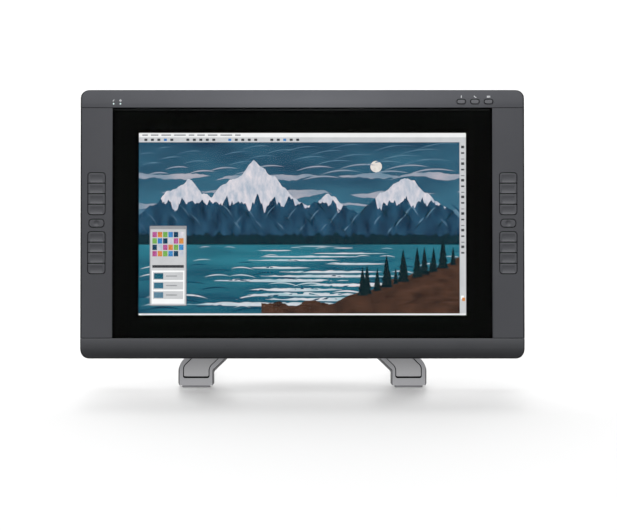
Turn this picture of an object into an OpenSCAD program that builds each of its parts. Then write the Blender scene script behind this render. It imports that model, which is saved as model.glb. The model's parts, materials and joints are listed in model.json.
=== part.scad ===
// Pen display: a screen that is drawn on, in a slim case with key columns beside the glass,
// tilting on a two-legged stand. Millimetres, +Z up, origin on the desk under the middle of its box.
// Tablet pieces are drawn in the tablet's own frame (x right, y up the screen, z out of the screen,
// z = 0 on the back of the case) and then set on the stand at the rest tilt.

/* [Case] */
// Width of the key panel on each side of the glass
side_panel_w = 47; // [44:0.5:56]
// Height of the bar under the glass
bottom_bar_h = 27.4; // [23:0.1:29]
// Height of the bar over the glass
top_bar_h = 28.3; // [26:0.1:32]
// Depth of the case from back to front
case_d = 40; // [38:0.5:46]
// Corner radius of the case seen from the front
case_r = 13; // [10:0.5:20]
// Wall of the case pieces
wall = 2.5; // [2:0.1:3]
// Radius of the curve down the top bar
top_curve_r = 40; // [36:0.5:46]
// Radius of the curve down the bottom bar
bottom_curve_r = 32; // [30:0.5:38]
// Height of the straight edge of the rear cover above its back
rear_edge = 18; // [16:0.5:19]
// How far the back face is set in from the case's edge
rear_inset = 16; // [12:0.5:20]
// Open line between the front pieces
seam = 0.6; // [0.3:0.05:0.7]

/* [Screen] */
// Width of the cover glass
glass_w = 556; // [540:1:580]
// Height of the zone of the glass between the two bars
glass_h = 340.5; // [330:0.5:356]
// Thickness of the cover glass
glass_t = 3; // [2:0.1:4]
// How far the glass lies below the front of the case
glass_recess = 0.6; // [0.3:0.05:1]
// Width of the lit picture
screen_w = 479.2; // [460:0.1:490]
// Height of the lit picture
screen_h = 269.4; // [258:0.1:276]
// Height of the picture's middle above the lower edge of the case
screen_v = 196.4; // [192:0.1:200]
// Border of the display panel around the picture
lcd_border = 6; // [4:0.5:8]
// Thickness of the display panel
lcd_t = 2; // [1.5:0.1:2.5]
// Thickness of the foam gasket behind the glass
gasket_t = 1; // [0.6:0.1:1.4]
// Thickness of the shield plate
shield_t = 0.8; // [0.5:0.1:1.2]
// Thickness of the pen sensor board
sensor_t = 1.2; // [0.8:0.1:1.6]
// Thickness of the steel chassis plate
chassis_t = 1.2; // [1:0.1:1.6]
// Thickness of the middle frame's base
frame_base_t = 3; // [2.5:0.1:4]
// Wall of the middle frame's rims
rim_t = 3; // [2:0.1:4]

/* [Keys] */
// Width of the opening around a group of keys
group_w = 26.4; // [24:0.1:29]
// Height of the opening around a group of keys
group_h = 63.2; // [58:0.1:68]
// Corner radius of that opening
group_r = 5; // [2.5:0.1:6]
// Height of the key columns' middle above the lower edge of the case
key_v = 196.9; // [192:0.1:202]
// Distance from the columns' middle to the middle of a group
group_offset = 43.6; // [42.5:0.1:47]
// Clearance around a key in its opening
key_gap = 1; // [0.5:0.05:1.2]
// Open line between two keys of a group
key_split = 1.2; // [0.8:0.05:1.6]
// How far keys stand out of the panel
key_proud = 0.5; // [0.2:0.05:1]
// Radius of the dished key tops
dish_r = 16; // [14:0.5:20]
// Depth of the dished key tops
dish_depth = 1.1; // [0.8:0.05:1.2]
// How far a dish lies below the middle of its key
dish_drop = 1.2; // [0.6:0.1:1.4]
// Width of the flat border beside the dish
dish_border = 2.6; // [1.5:0.1:4]
// How far a key's flange reaches under the panel
flange_lip = 1; // [0.9:0.1:1.4]
// Thickness of a key's flange
flange_t = 1.2; // [0.8:0.1:1.6]
// Gap between a flange and the panel above it
flange_gap = 0.3; // [0.2:0.05:0.5]
// Travel of the keys and buttons
key_travel = 0.8; // [0.5:0.05:1]
// Width of the single button between the groups
menu_w = 21.2; // [19:0.1:23]
// Height of the single button between the groups
menu_h = 11; // [10:0.1:13]
// Radius of the single button's rounded ends
menu_r = 4.6; // [3:0.1:4.9]
// Radius of the dimple in the single button
menu_dimple_r = 4.4; // [3:0.1:4.8]
// Depth of the dimple in the single button
menu_dimple_depth = 1.6; // [0.8:0.1:2]
// Width of a button on the top bar
top_button_w = 11.8; // [10:0.1:14]
// Height of a button on the top bar
top_button_h = 6.4; // [6.1:0.1:8]
// Distance between the buttons on the top bar
top_button_pitch = 20; // [18:0.1:24]
// Distance of the middle top button from the case's middle
top_button_x = 253; // [240:1:258]
// Height of the top buttons above the glass
top_button_rise = 9.2; // [8.5:0.1:11]
// Radius of a light pipe
light_r = 1.1; // [0.8:0.05:1.5]
// Distance of the first light from the case's middle
light_x = 276.8; // [266:0.1:284]
// Distance between the two lights
light_pitch = 10; // [7:0.1:14]
// Height of the lights above the glass
light_rise = 6; // [4.5:0.1:7]
// Radius of the power button on the back
power_r = 5; // [4:0.1:6]

/* [Electronics] */
// Thickness of the circuit boards
board_t = 1.6; // [1.2:0.1:2]
// Height of the key boards' faces above the back of the case
key_board_top = 29; // [28:0.1:30]
// Width of a key board
key_board_w = 24; // [20:0.5:28]
// Radius of a dome switch
dome_r = 3.5; // [2.5:0.1:4.5]
// Height of a dome switch
dome_h = 1.5; // [1:0.1:1.8]
// Radius of a key's stem
stem_r = 3; // [2:0.1:4]
// Height of the posts between the boards and the chassis plate
standoff_h = 4; // [3:0.1:5]
// Width of the main board
main_w = 165; // [150:1:170]
// Height of the main board
main_h = 130; // [110:1:140]
// Width of the power board
supply_w = 120; // [100:1:140]
// Height of the power board
supply_h = 110; // [90:1:130]
// Distance of the power board's middle from the case's middle
supply_x = 200; // [180:1:215]
// Clearance around a socket in the rear cover
socket_gap = 0.4; // [0.3:0.05:0.6]
// Height of the sockets above the lower edge of the case
socket_v = 96; // [90:0.5:110]
// Radius of the case screws
screw_r = 1.5; // [1.2:0.05:1.8]
// Radius of the bosses for the case screws
boss_r = 5.5; // [5:0.1:7]
// Distance of the corner screws from the sides of the case
screw_inset = 24; // [22:0.5:28]
// Distance of the other screws from the case's middle
screw_x = 95; // [85:1:110]
// Distance of the screws from the upper and lower edges of the case
screw_edge = 30; // [27:0.5:38]

/* [Back] */
// Hole spacing that holds the stand's bracket
stand_holes = 75; // [70:0.5:80]
// Hole spacing left free for an arm
arm_holes = 100; // [96:0.5:110]
// Radius of the threaded holes
mount_hole_r = 2.05; // [1.6:0.05:2.6]
// Depth of the threaded holes
mount_hole_depth = 10; // [8:0.5:11]
// Width of a cooling slot
vent_w = 2.4; // [1.6:0.1:3.2]
// Length of a cooling slot
vent_h = 28; // [20:0.5:36]
// Distance between cooling slots
vent_pitch = 10; // [7:0.5:11]
// Height of the cooling slots' middle above the lower edge of the case
vent_v = 312; // [300:1:318]
// Width of a touch strip
strip_w = 14; // [10:0.5:18]
// Length of a touch strip
strip_h = 110; // [90:1:130]
// Thickness of a touch strip
strip_t = 1; // [0.6:0.1:1.4]
// Distance of a touch strip from the case's middle
strip_x = 285; // [278:0.5:292]

/* [Stand] */
// Rest tilt of the screen above the desk
tilt = 70; // [66:0.5:72]
// Height of the case's lower rear edge above the desk
case_lift = 37.6; // [34:0.1:44]
// Height of the hinge above the lower edge of the case, along the back
hinge_v = 56; // [52:0.5:60]
// Distance of the hinge behind the back of the case
hinge_gap = 20; // [19:0.5:23]
// Radius of the hinge tube
tube_r = 12; // [10:0.5:13]
// Wall of the hinge tube
tube_wall = 2.5; // [1.5:0.1:4]
// Wall of the friction bushes
bush_t = 2; // [1.5:0.1:2.5]
// Outer radius of the knuckles and leg rings
ring_r = 18; // [17:0.1:18.5]
// Distance of the bracket's knuckles from the middle
knuckle_x = 30; // [29.5:0.5:33]
// Width of a bracket knuckle
knuckle_w = 42; // [36:0.5:46]
// Width of a leg's ring on the tube
ring_w = 24; // [20:0.5:28]
// Clearance between rings side by side
ring_gap = 1; // [0.6:0.1:1.5]
// Running clearance of the bushes on the tube
run_gap = 0.05; // [0.03:0.01:0.08]
// Thickness of the end caps
cap_t = 3; // [2:0.1:5]
// Slope of the front legs
leg_lean = 62; // [60:0.5:64]
// Thickness of the legs
leg_t = 12; // [10:0.5:14]
// How far the front face of a leg lies ahead of the hinge
leg_ahead = 6.8; // [5:0.1:8]
// Distance of a front leg's outer edge from the middle
leg_out = 182; // [175:0.5:190]
// Distance of a front leg's inner edge from the middle
leg_in = 129; // [122:0.5:134]
// Length of the upright part of a leg's inner edge
knee_s = 24.7; // [20:0.1:28]
// Radius of the knee in a leg's inner edge
knee_r = 5; // [2:0.1:8]
// Length of the upright part of a leg's outer edge
bend_s = 25; // [21:0.1:28]
// Radius of the bend in a leg's outer edge
bend_r = 18.5; // [15:0.1:22]
// Border of a leg around its inlay
inlay_border = 8.4; // [5:0.1:9]
// Height of the leg below its inlay
inlay_foot = 14.2; // [12:0.1:16]
// Open groove around the inlay
inlay_groove = 1.2; // [0.5:0.05:1.4]
// Open groove below the inlay
foot_groove = 2.8; // [1:0.1:3.2]
// Radius of the inlay's lower corners
inlay_r = 2; // [1:0.1:4]
// Thickness of the inlay
inlay_t = 1.6; // [1:0.1:2.5]
// Distance from the hinge back to the rear feet
rear_reach = 185; // [178:1:210]
// How far a rear leg runs on behind the middle of its foot
rear_toe = 14; // [13:0.5:18]
// Distance of a rear foot's outer edge from the middle
rear_out = 170; // [160:1:176]
// Width of a rear foot
rear_foot_w = 40; // [34:0.5:46]
// Height of the rubber feet
pad_t = 2.4; // [2:0.1:4]
// How far a rubber foot is set in from the leg's edge
pad_inset = 6; // [4:0.1:8]

/* [Bracket] */
// Thickness of the bracket's plate
plate_t = 6; // [4.5:0.1:7]
// Width of the bracket's plate
plate_w = 90; // [88:0.5:91]
// Height of the bracket's plate beyond its screws
plate_over = 12; // [10:0.5:16]
// Height of the bracket's ribs
rib_h = 8; // [5:0.5:9]
// Thickness of the bracket's ribs
rib_t = 5; // [3:0.1:5.5]
// Radius of the heads of the mounting screws
head_r = 3.6; // [3.2:0.1:4]
// Thickness of the heads of the mounting screws
head_t = 3; // [2:0.1:4]
// Height of the lever's pin above the hinge
pin_up = 34; // [33:0.5:38]
// Distance of the lever's pin behind the hinge
pin_back = 14; // [12.5:0.5:15]
// Radius of the lever's pin
pin_r = 3; // [2.5:0.1:3.5]
// Width of the lever
lever_w = 50; // [44:0.5:54]
// Length of the lever's paddle above its pin
paddle_h = 58; // [50:0.5:66]
// Thickness of the lever's paddle
paddle_t = 5; // [4:0.1:6]
// Outer radius of the lever's hub
hub_r = 8.4; // [8:0.1:9]
// Thickness of the bracket's ears
ear_t = 4; // [3:0.1:4.4]
// Rest gap between the brake shoe and the tube
shoe_gap = 0.3; // [0.2:0.05:0.5]
// Height of the brake shoe
shoe_h = 18; // [14:0.5:20]
// Mean radius of the lever's coil spring
spring_r = 5; // [4.8:0.05:5.2]
// Radius of the spring's wire
wire_r = 0.6; // [0.4:0.05:0.7]
// Turns of the spring
spring_turns = 7; // [5:1:8]
// Distance between turns of the spring
spring_pitch = 2; // [1.8:0.05:2.2]

/* [Hidden] */
$fn = 64;

// Case, in the tablet's frame
case_w = glass_w + 2 * side_panel_w;
case_h = bottom_bar_h + glass_h + top_bar_h;
bottom_seam = bottom_bar_h;
top_seam = bottom_bar_h + glass_h;
panel_x = glass_w / 2 + side_panel_w / 2;
fit = 0.05;
// Overrun of a cut past the face it opens
over = 1;
light_proud = 0.1;
big = 1000;

// Levels above the back of the case
edge_clear = 1.2;
split_rise = 1.6;
stem_gap = 0.3;
chassis_z = rear_edge + edge_clear;
frame_z = chassis_z + chassis_t;
sensor_z = frame_z + shield_t;
backlight_z = sensor_z + sensor_t;
glass_top = case_d - glass_recess;
glass_z = glass_top - glass_t;
gasket_z = glass_z - gasket_t;
lcd_z = gasket_z - lcd_t;
split_z = frame_z + split_rise;
frame_top = frame_z + frame_base_t;
main_z = chassis_z - standoff_h - board_t;
stem_foot = key_board_top + dome_h + key_travel + stem_gap;

// Pieces inside the case
inside_gap = 1;
lcd_w = screen_w + 2 * lcd_border;
lcd_h = screen_h + 2 * lcd_border;
window_gap = 0.5;
main_end_x = 285;
socket_margin = 24;
main_x = main_end_x - main_w / 2;
main_v = socket_v + main_h / 2 - socket_margin;
supply_v = 135;
keys_per_group = 4;
key_h = (group_h - 2 * key_gap - (keys_per_group - 1) * key_split) / keys_per_group;
board_over = 12;
key_board_h = 2 * (group_offset + board_over) + group_h;
end_flat = 0.4;
top_button_r = top_button_h / 2 - end_flat;
light_board_x = light_x + board_over;
top_board_h = 10;
power_x = 250;
power_v = 350;
power_stem_h = 2;
power_stem_foot = wall + flange_gap + flange_t + power_stem_h;
switch_w = 14;
post_r = 3;
rail_t = 2;
rail_in = 2;
small_r = 1;
foot_r = 2;
corner_x = case_w / 2 - screw_inset;
screw_spots = [for (sx = [-1, 1], p = [[corner_x, 0], [screw_x, 0], [corner_x, 1], [screw_x, 1]])
    [sx * p[0], p[1] == 0 ? screw_edge : case_h - screw_edge]];
screw_seat_t = 1;
screw_head_t = 2;
screw_seat = wall + screw_seat_t;
screw_head_r = 2 * screw_r;
head_gap = 0.3;
tip_gap = 1;
screw_clear = 0.2;
vesa_v = case_h / 2;
vent_count = 14;
vent_x = 70;
strip_gap = 0.3;
strip_v = 205;
strip_sink = 0.2;
strip_pad = 3;

// Parts on a board: place from its middle, width, height and depth
main_parts = [[-50, 20, 36, 36, 6], [0, 30, 22, 22, 1.5], [34, 40, 14, 20, 1.5], [-10, -8, 28, 12, 4]];
supply_parts = [[-30, 20, 30, 26, 8], [10, 24, 20, 30, 7], [-24, -26, 40, 14, 6], [34, -20, 14, 30, 7]];

// Sockets: place from the middle, width, height, depth, width and height of the hole
sockets = [[206, 40, 14, 34, 9], [246, 15, 14, 10, 9], [271, 13, 14, 8, 9]];
socket_depth = 8;
socket_out = 0.4;

// Stand
hinge_z = case_lift + hinge_v * sin(tilt) - hinge_gap * cos(tilt);
front_reach = (hinge_v - bottom_seam) * cos(tilt) + (case_d - bottom_curve_r + hinge_gap) * sin(tilt)
    + bottom_curve_r;
hinge_y = -(rear_reach + rear_toe - front_reach) / 2;
knuckle_end = knuckle_x + knuckle_w;
front_ring_x = knuckle_end + ring_gap;
rear_ring_x = front_ring_x + ring_w + ring_gap;
tube_half = rear_ring_x + ring_w;
leg_top_s = (hinge_z + leg_ahead * cos(leg_lean) - pad_t) / sin(leg_lean);
toe_y = hinge_y - leg_ahead * sin(leg_lean) - leg_top_s * cos(leg_lean);
sweep_gap = 3;
inlay_margin = 4;
inlay_sink = 0.2;
sweep_r = norm([ring_r, hinge_gap]) + sweep_gap;
inlay_end = leg_top_s - sweep_r - inlay_margin;
rear_slope = atan2(hinge_z - pad_t, rear_reach);
front_pad_y = toe_y + leg_t / sin(leg_lean) / 2;
pad_step = 1;
front_pad_d = leg_t / sin(leg_lean) - 2 * pad_step;
rear_straight = 40;
rear_elbow = 70;
rear_foot_l = 90;
rear_foot_in_l = 75;
cap_plug = 10;
neck_step = 1;
grub_r = 2.5;
grub_gap = 0.15;
grub_turn = 55;

// Bracket and lever, in the tablet's frame
bore_r = tube_r + run_gap + bush_t;
pin_v = hinge_v + pin_up;
pin_z = -hinge_gap - pin_back;
lever_gap = 1;
ear_x = lever_w / 2 + lever_gap;
plate_top = vesa_v + stand_holes / 2 + plate_over;
plate_under = 14;
plate_low = hinge_v - plate_under;
shoe_z = -hinge_gap - tube_r - shoe_gap;
shoe_t = 4;
arm_t = 5;
shoe_step = 5;
shoe_w = lever_w - 2 * shoe_step;
spring_room = 0.6;
spring_pocket_r = spring_r + wire_r + spring_room;
spring_pocket_w = spring_pitch * spring_turns + 2 * wire_r + 4 * spring_room;
rib_gap = 1;

// Colours
case_grey = "#4e4f53";
bar_grey = "#5f6064";
key_grey = "#3c3d41";
glass_black = "#0c0d0f";
leg_grey = "#959597";
steel = "#a8abb0";
black = "#1c1d1f";
board_green = "#1f5a3c";

// Frames and shared shapes

module on_tablet() {
    translate([0, hinge_y, hinge_z]) rotate([tilt, 0, 0]) translate([0, -hinge_v, hinge_gap]) children();
}

module on_front_leg() {
    translate([0, toe_y, pad_t]) rotate([leg_lean, 0, 0]) children();
}

module on_rear_leg() {
    translate([0, hinge_y, hinge_z]) rotate([-rear_slope, 0, 0]) children();
}

module on_side(side) {
    if (side < 0) mirror([1, 0, 0]) children();
    else children();
}

module rrect(w, h, r) {
    square([w - 2 * r, h], center = true);
    square([w, h - 2 * r], center = true);
    for (sx = [-1, 1], sy = [-1, 1]) translate([sx * (w / 2 - r), sy * (h / 2 - r)]) circle(r);
}

module slab(w, h, r, z0, z1) {
    translate([0, 0, z0]) linear_extrude(z1 - z0) rrect(w, h, r);
}

module box(w, h, z0, z1) {
    translate([-w / 2, -h / 2, z0]) cube([w, h, z1 - z0]);
}

module rod_x(x0, x1, r) {
    translate([x0, 0, 0]) rotate([0, 90, 0]) cylinder(r = r, h = x1 - x0);
}

module at_hinge() {
    translate([0, hinge_v, -hinge_gap]) children();
}

module at_pin() {
    translate([0, pin_v, pin_z]) children();
}

// The slope on the rear cover's edges, moved in by a wall
slope_n = norm([1 / rear_inset, 1 / rear_edge]);
function slope_z(i) = rear_edge * (1 + i * slope_n - i / rear_inset);
function slope_in(i) = rear_inset * (1 + i * slope_n - i / rear_edge);

module section(low, high, i) {
    polygon([[low + i, slope_z(i)], [low + slope_in(i), i], [high - slope_in(i), i],
        [high - i, slope_z(i)], [high - i, case_d - i], [low + i, case_d - i]]);
}

module side_section(i) {
    intersection() {
        section(0, case_h, i);
        union() {
            translate([bottom_seam, 0]) square([glass_h, case_d]);
            translate([top_seam, case_d - top_curve_r]) circle(top_curve_r - i);
            translate([bottom_seam, case_d - bottom_curve_r]) circle(bottom_curve_r - i);
        }
    }
}

module case_solid(i) {
    intersection() {
        translate([0, case_h / 2, 0])
            linear_extrude(case_d) rrect(case_w - 2 * i, case_h - 2 * i, case_r - i);
        rotate([90, 0, 90]) linear_extrude(case_w, center = true) side_section(i);
        translate([0, case_h, 0]) rotate([90, 0, 0])
            linear_extrude(case_h) section(-case_w / 2, case_w / 2, i);
    }
}

module case_shell() {
    difference() {
        case_solid(0);
        case_solid(wall);
    }
}

module front_zone(x0, x1, v0, v1) {
    intersection() {
        case_shell();
        translate([x0, v0, split_z]) cube([x1 - x0, v1 - v0, case_d]);
    }
}

module vesa_spots(spacing) {
    for (sx = [-1, 1], sy = [-1, 1]) translate([sx * spacing / 2, vesa_v + sy * spacing / 2, 0]) children();
}

module at_screws() {
    for (p = screw_spots) translate([p[0], p[1], 0]) children();
}

module at_groups(side) {
    for (up = [-1, 1]) translate([side * panel_x, key_v + up * group_offset, 0]) children();
}

module at_top_button(i) {
    translate([top_button_x + (i - 2) * top_button_pitch, top_seam + top_button_rise, 0]) children();
}

module at_lights() {
    for (i = [0, 1]) translate([-light_x + i * light_pitch, top_seam + light_rise, 0]) children();
}

// Space under a surface that lies a little proud of the top bar
module under_top_curve(proud) {
    translate([0, top_seam, case_d - top_curve_r]) rod_x(-case_w / 2, case_w / 2, top_curve_r + proud);
}

// Stand

module pivot_tube() {
    color(steel) translate([0, hinge_y, hinge_z]) difference() {
        rod_x(-tube_half, tube_half, tube_r);
        rod_x(-tube_half - over, tube_half + over, tube_r - tube_wall);
    }
}

module tube_caps() {
    color(black) translate([0, hinge_y, hinge_z]) for (side = [-1, 1]) on_side(side) {
        rod_x(tube_half, tube_half + cap_t, ring_r);
        rod_x(tube_half - cap_plug, tube_half, tube_r - tube_wall - fit);
    }
}

function arc(middle, r, turns) = [for (a = turns) middle + r * [cos(a), sin(a)]];

// Front outline of a right leg on its sloping plane, set in by a margin, with rounded lower corners
module leg_outline(margin, foot, end, r = 0) {
    knee = [leg_in - knee_r, knee_s - knee_r * (sqrt(2) - 1)];
    bend = [leg_out - bend_r, bend_s];
    inner_line = leg_in + knee_s + margin * sqrt(2);
    outer_line = bend[0] + bend[1] + (bend_r - margin) * sqrt(2);
    polygon(concat(
        arc([leg_in + margin + r, foot + r], r, r > 0 ? [180:15:270] : [180]),
        arc([leg_out - margin - r, foot + r], r, r > 0 ? [270:15:360] : [0]),
        arc(bend, bend_r - margin, [0:5:45]),
        [[outer_line - end, end], [inner_line - end, end]],
        arc(knee, knee_r + margin, [45:-9:0])));
}

module front_leg(side) {
    color(leg_grey) on_side(side) difference() {
        union() {
            on_front_leg() translate([0, 0, -leg_t]) linear_extrude(leg_t) leg_outline(0, -leg_t, leg_top_s);
            translate([0, hinge_y, hinge_z]) rod_x(front_ring_x, front_ring_x + ring_w, ring_r);
        }
        translate([-big / 2, -big / 2, pad_t - big]) cube(big);
        translate([0, hinge_y, hinge_z]) {
            rod_x(0, rear_ring_x + ring_w, tube_r + fit);
            rod_x(0, front_ring_x, sweep_r);
            rod_x(rear_ring_x - ring_gap, tube_half + leg_out, ring_r + ring_gap);
        }
        on_front_leg() translate([0, 0, -inlay_t - inlay_sink]) linear_extrude(leg_t)
            leg_outline(inlay_border - inlay_groove, inlay_foot - foot_groove, inlay_end + inlay_groove,
                inlay_r + inlay_groove);
        grub_hole(front_ring_x);
    }
}

module rear_leg(side) {
    foot_in = rear_out - rear_foot_w;
    end = rear_reach / cos(rear_slope);
    ring_end = rear_ring_x + ring_w;
    neck_in = rear_ring_x + neck_step;
    neck_out = ring_end - neck_step;
    color(leg_grey) on_side(side) difference() {
        union() {
            on_rear_leg() translate([0, 0, -leg_t / 2]) linear_extrude(leg_t)
                polygon([[neck_in, 0], [neck_out, 0], [neck_out, rear_straight],
                    [rear_out, end - rear_foot_l], [rear_out, end + 2 * rear_toe],
                    [foot_in, end + 2 * rear_toe], [foot_in, end - rear_foot_in_l],
                    [neck_in, rear_elbow]]);
            translate([0, hinge_y, hinge_z]) rod_x(rear_ring_x, ring_end, ring_r);
        }
        translate([-big / 2, -big / 2, pad_t - big]) cube(big);
        translate([-big / 2, hinge_y + rear_reach + rear_toe, -big / 2]) cube(big);
        translate([0, hinge_y, hinge_z]) rod_x(0, tube_half + over, tube_r + fit);
        grub_hole(rear_ring_x);
    }
}

// Radial hole or screw in the back of a ring
module grub(ring_x, r, from, to) {
    translate([ring_x + ring_w / 2, hinge_y, hinge_z]) rotate([-grub_turn, 0, 0]) translate([0, 0, from])
        cylinder(r = r, h = to - from);
}

module grub_hole(ring_x) {
    grub(ring_x, grub_r + grub_gap, tube_r - over, ring_r + over);
}

module grub_screws() {
    color(black) for (side = [-1, 1], x = [front_ring_x, rear_ring_x]) on_side(side)
        grub(x, grub_r, tube_r + grub_gap, ring_r);
}

module leg_inlay(side) {
    color("#98989a") on_side(side) on_front_leg() translate([0, 0, -inlay_t - inlay_sink])
        linear_extrude(inlay_t) leg_outline(inlay_border, inlay_foot, inlay_end, inlay_r);
}

module rubber_feet() {
    color(black) for (side = [-1, 1]) on_side(side) {
        translate([(leg_in + leg_out) / 2, front_pad_y, 0])
            slab(leg_out - leg_in - 2 * pad_inset, front_pad_d, foot_r, 0, pad_t);
        translate([rear_out - rear_foot_w / 2, hinge_y + rear_reach, 0])
            slab(rear_foot_w - pad_inset, 2 * rear_toe - pad_inset, foot_r, 0, pad_t);
    }
}

// Bracket and lever

module mount_bracket() {
    color("#77797d") on_tablet() difference() {
        union() {
            translate([-plate_w / 2, plate_low, -plate_t]) cube([plate_w, plate_top - plate_low, plate_t]);
            translate([-knuckle_end, plate_low, -plate_t]) cube([2 * knuckle_end, 2 * ring_r, plate_t]);
            for (side = [-1, 1]) on_side(side) {
                at_hinge() rod_x(knuckle_x, knuckle_end, ring_r);
                translate([knuckle_x, plate_low, -hinge_gap])
                    cube([knuckle_w, hinge_v - plate_low + ring_r, hinge_gap]);
                translate([plate_w / 2 - rib_t, hinge_v, -plate_t - rib_h])
                    cube([rib_t, vesa_v - stand_holes / 2 - head_r - rib_gap - hinge_v, plate_t + rib_h]);
                translate([ear_x, pin_v - hub_r, pin_z]) cube([ear_t, 2 * hub_r, -pin_z]);
                at_pin() rod_x(ear_x, ear_x + ear_t, hub_r);
            }
        }
        at_hinge() rod_x(-knuckle_end - over, knuckle_end + over, bore_r + fit);
        at_pin() rod_x(-ear_x - ear_t - over, ear_x + ear_t + over, pin_r + fit);
        vesa_spots(stand_holes) translate([0, 0, -plate_t - over])
            cylinder(r = mount_hole_r + screw_clear, h = plate_t + 2 * over);
    }
}

module mount_screws() {
    color(black) on_tablet() vesa_spots(stand_holes) difference() {
        union() {
            translate([0, 0, -plate_t - head_t]) cylinder(r = head_r, h = head_t);
            translate([0, 0, -plate_t])
                cylinder(r = mount_hole_r - fit, h = plate_t + mount_hole_depth - tip_gap);
        }
        translate([0, 0, -plate_t - 1.5 * head_t]) cylinder(r = head_r / 2, h = head_t, $fn = 6);
    }
}

module friction_bushes() {
    color("#8a7a52") on_tablet() at_hinge() for (side = [-1, 1]) on_side(side) difference() {
        rod_x(knuckle_x, knuckle_end, bore_r);
        rod_x(knuckle_x - over, knuckle_end + over, tube_r + run_gap);
    }
}

module lever_pin() {
    color(steel) on_tablet() at_pin() rod_x(-ear_x - ear_t, ear_x + ear_t, pin_r);
}

module release_lever() {
    color(black) on_tablet() difference() {
        union() {
            at_pin() rod_x(-lever_w / 2, lever_w / 2, hub_r);
            translate([-lever_w / 2, pin_v, pin_z - paddle_t / 2]) cube([lever_w, paddle_h, paddle_t]);
            translate([-shoe_w / 2, hinge_v - shoe_h / 2, shoe_z - shoe_t - arm_t])
                cube([shoe_w, pin_up + shoe_h / 2, arm_t]);
            translate([-shoe_w / 2, hinge_v - shoe_h / 2, shoe_z - shoe_t])
                cube([shoe_w, shoe_h, 2 * shoe_t]);
        }
        at_hinge() rod_x(-lever_w, lever_w, tube_r + shoe_gap);
        at_pin() rod_x(-lever_w, lever_w, pin_r + run_gap);
        at_pin() rod_x(-spring_pocket_w / 2, spring_pocket_w / 2, spring_pocket_r);
    }
}

// Coil spring as one swept tube: eight rings to a turn, six sides
spring_rings = 8 * spring_turns;
spring_sides = 6;
function spring_point(k) = [spring_pitch * (k / 8 - spring_turns / 2),
    spring_r * cos(45 * k), spring_r * sin(45 * k)];
function spring_ring(k, j) = let (p = spring_point(k), a = 360 / spring_sides * j)
    p + wire_r * (cos(a) * [0, cos(45 * k), sin(45 * k)] + sin(a) * [1, 0, 0]);
spring_points = [for (k = [0:spring_rings], j = [0:spring_sides - 1]) spring_ring(k, j)];
function spring_at(k, j) = k * spring_sides + j % spring_sides;
spring_faces = concat(
    [for (k = [0:spring_rings - 1], j = [0:spring_sides - 1], t = [0, 1]) t == 0
        ? [spring_at(k, j), spring_at(k, j + 1), spring_at(k + 1, j + 1)]
        : [spring_at(k, j), spring_at(k + 1, j + 1), spring_at(k + 1, j)]],
    [for (j = [1:spring_sides - 2]) [0, spring_at(0, j + 1), spring_at(0, j)]],
    [for (j = [1:spring_sides - 2]) [spring_at(spring_rings, 0), spring_at(spring_rings, j),
        spring_at(spring_rings, j + 1)]]);
echo(spring_gap = min([for (k = [0:spring_rings], n = [k + 4:spring_rings])
    norm(spring_point(k) - spring_point(n)) - 2 * wire_r]));

module lever_spring() {
    color(steel) on_tablet() at_pin() polyhedron(spring_points, spring_faces);
}

// Case pieces

module rear_cover() {
    color(case_grey) on_tablet() difference() {
        union() {
            intersection() {
                case_shell();
                translate([-case_w / 2, 0, 0]) cube([case_w, case_h, split_z]);
            }
            at_screws() translate([0, 0, wall / 2]) cylinder(r = boss_r, h = chassis_z - wall / 2);
            for (s = [stand_holes, arm_holes])
                vesa_spots(s) translate([0, 0, wall / 2])
                    cylinder(r = boss_r, h = mount_hole_depth + tip_gap);
            for (side = [-1, 1]) translate([side * strip_x, strip_v, 0])
                box(strip_w + 2 * strip_pad, strip_h + 2 * strip_pad, wall / 2, wall + strip_t);
        }
        at_screws() {
            translate([0, 0, -over]) cylinder(r = screw_r + fit, h = case_d);
            translate([0, 0, -over]) cylinder(r = screw_head_r + head_gap, h = screw_seat + over);
        }
        for (s = [stand_holes, arm_holes])
            vesa_spots(s) translate([0, 0, -over]) cylinder(r = mount_hole_r, h = mount_hole_depth + over);
        for (side = [-1, 1]) {
            translate([side * strip_x, strip_v, 0])
                slab(strip_w + 2 * strip_gap, strip_h + 2 * strip_gap, strip_w / 2, -over, strip_t);
            for (i = [0:vent_count - 1]) translate([side * (vent_x + i * vent_pitch), vent_v, 0])
                slab(vent_w, vent_h, vent_w / 2 - fit, -over, wall + over);
        }
        for (s = sockets) translate([s[0], socket_v, 0])
            box(s[1] + 2 * socket_gap, s[2] + 2 * socket_gap, -over, wall + over);
        translate([-power_x, power_v, -over]) cylinder(r = power_r + key_gap, h = wall + 2 * over);
    }
}

module case_screws() {
    color(black) on_tablet() at_screws() difference() {
        union() {
            translate([0, 0, screw_seat - screw_head_t]) cylinder(r = screw_head_r, h = screw_head_t);
            translate([0, 0, screw_seat]) cylinder(r = screw_r, h = frame_top - screw_seat);
        }
        translate([0, 0, screw_seat - 1.5 * screw_head_t]) cylinder(r = screw_r, h = screw_head_t, $fn = 6);
    }
}

// Plate that fills the case at the chassis level
module inner_plate(z0, z1) {
    translate([0, case_h / 2, 0])
        slab(case_w - 2 * (wall + inside_gap), case_h - 2 * (wall + inside_gap), case_r - wall, z0, z1);
}

module board_posts(x, v, w, h) {
    for (sx = [-1, 1], sy = [-1, 1])
        translate([x + sx * (w / 2 - 2 * post_r), v + sy * (h / 2 - 2 * post_r), main_z + board_t])
            cylinder(r = post_r, h = standoff_h);
}

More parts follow.
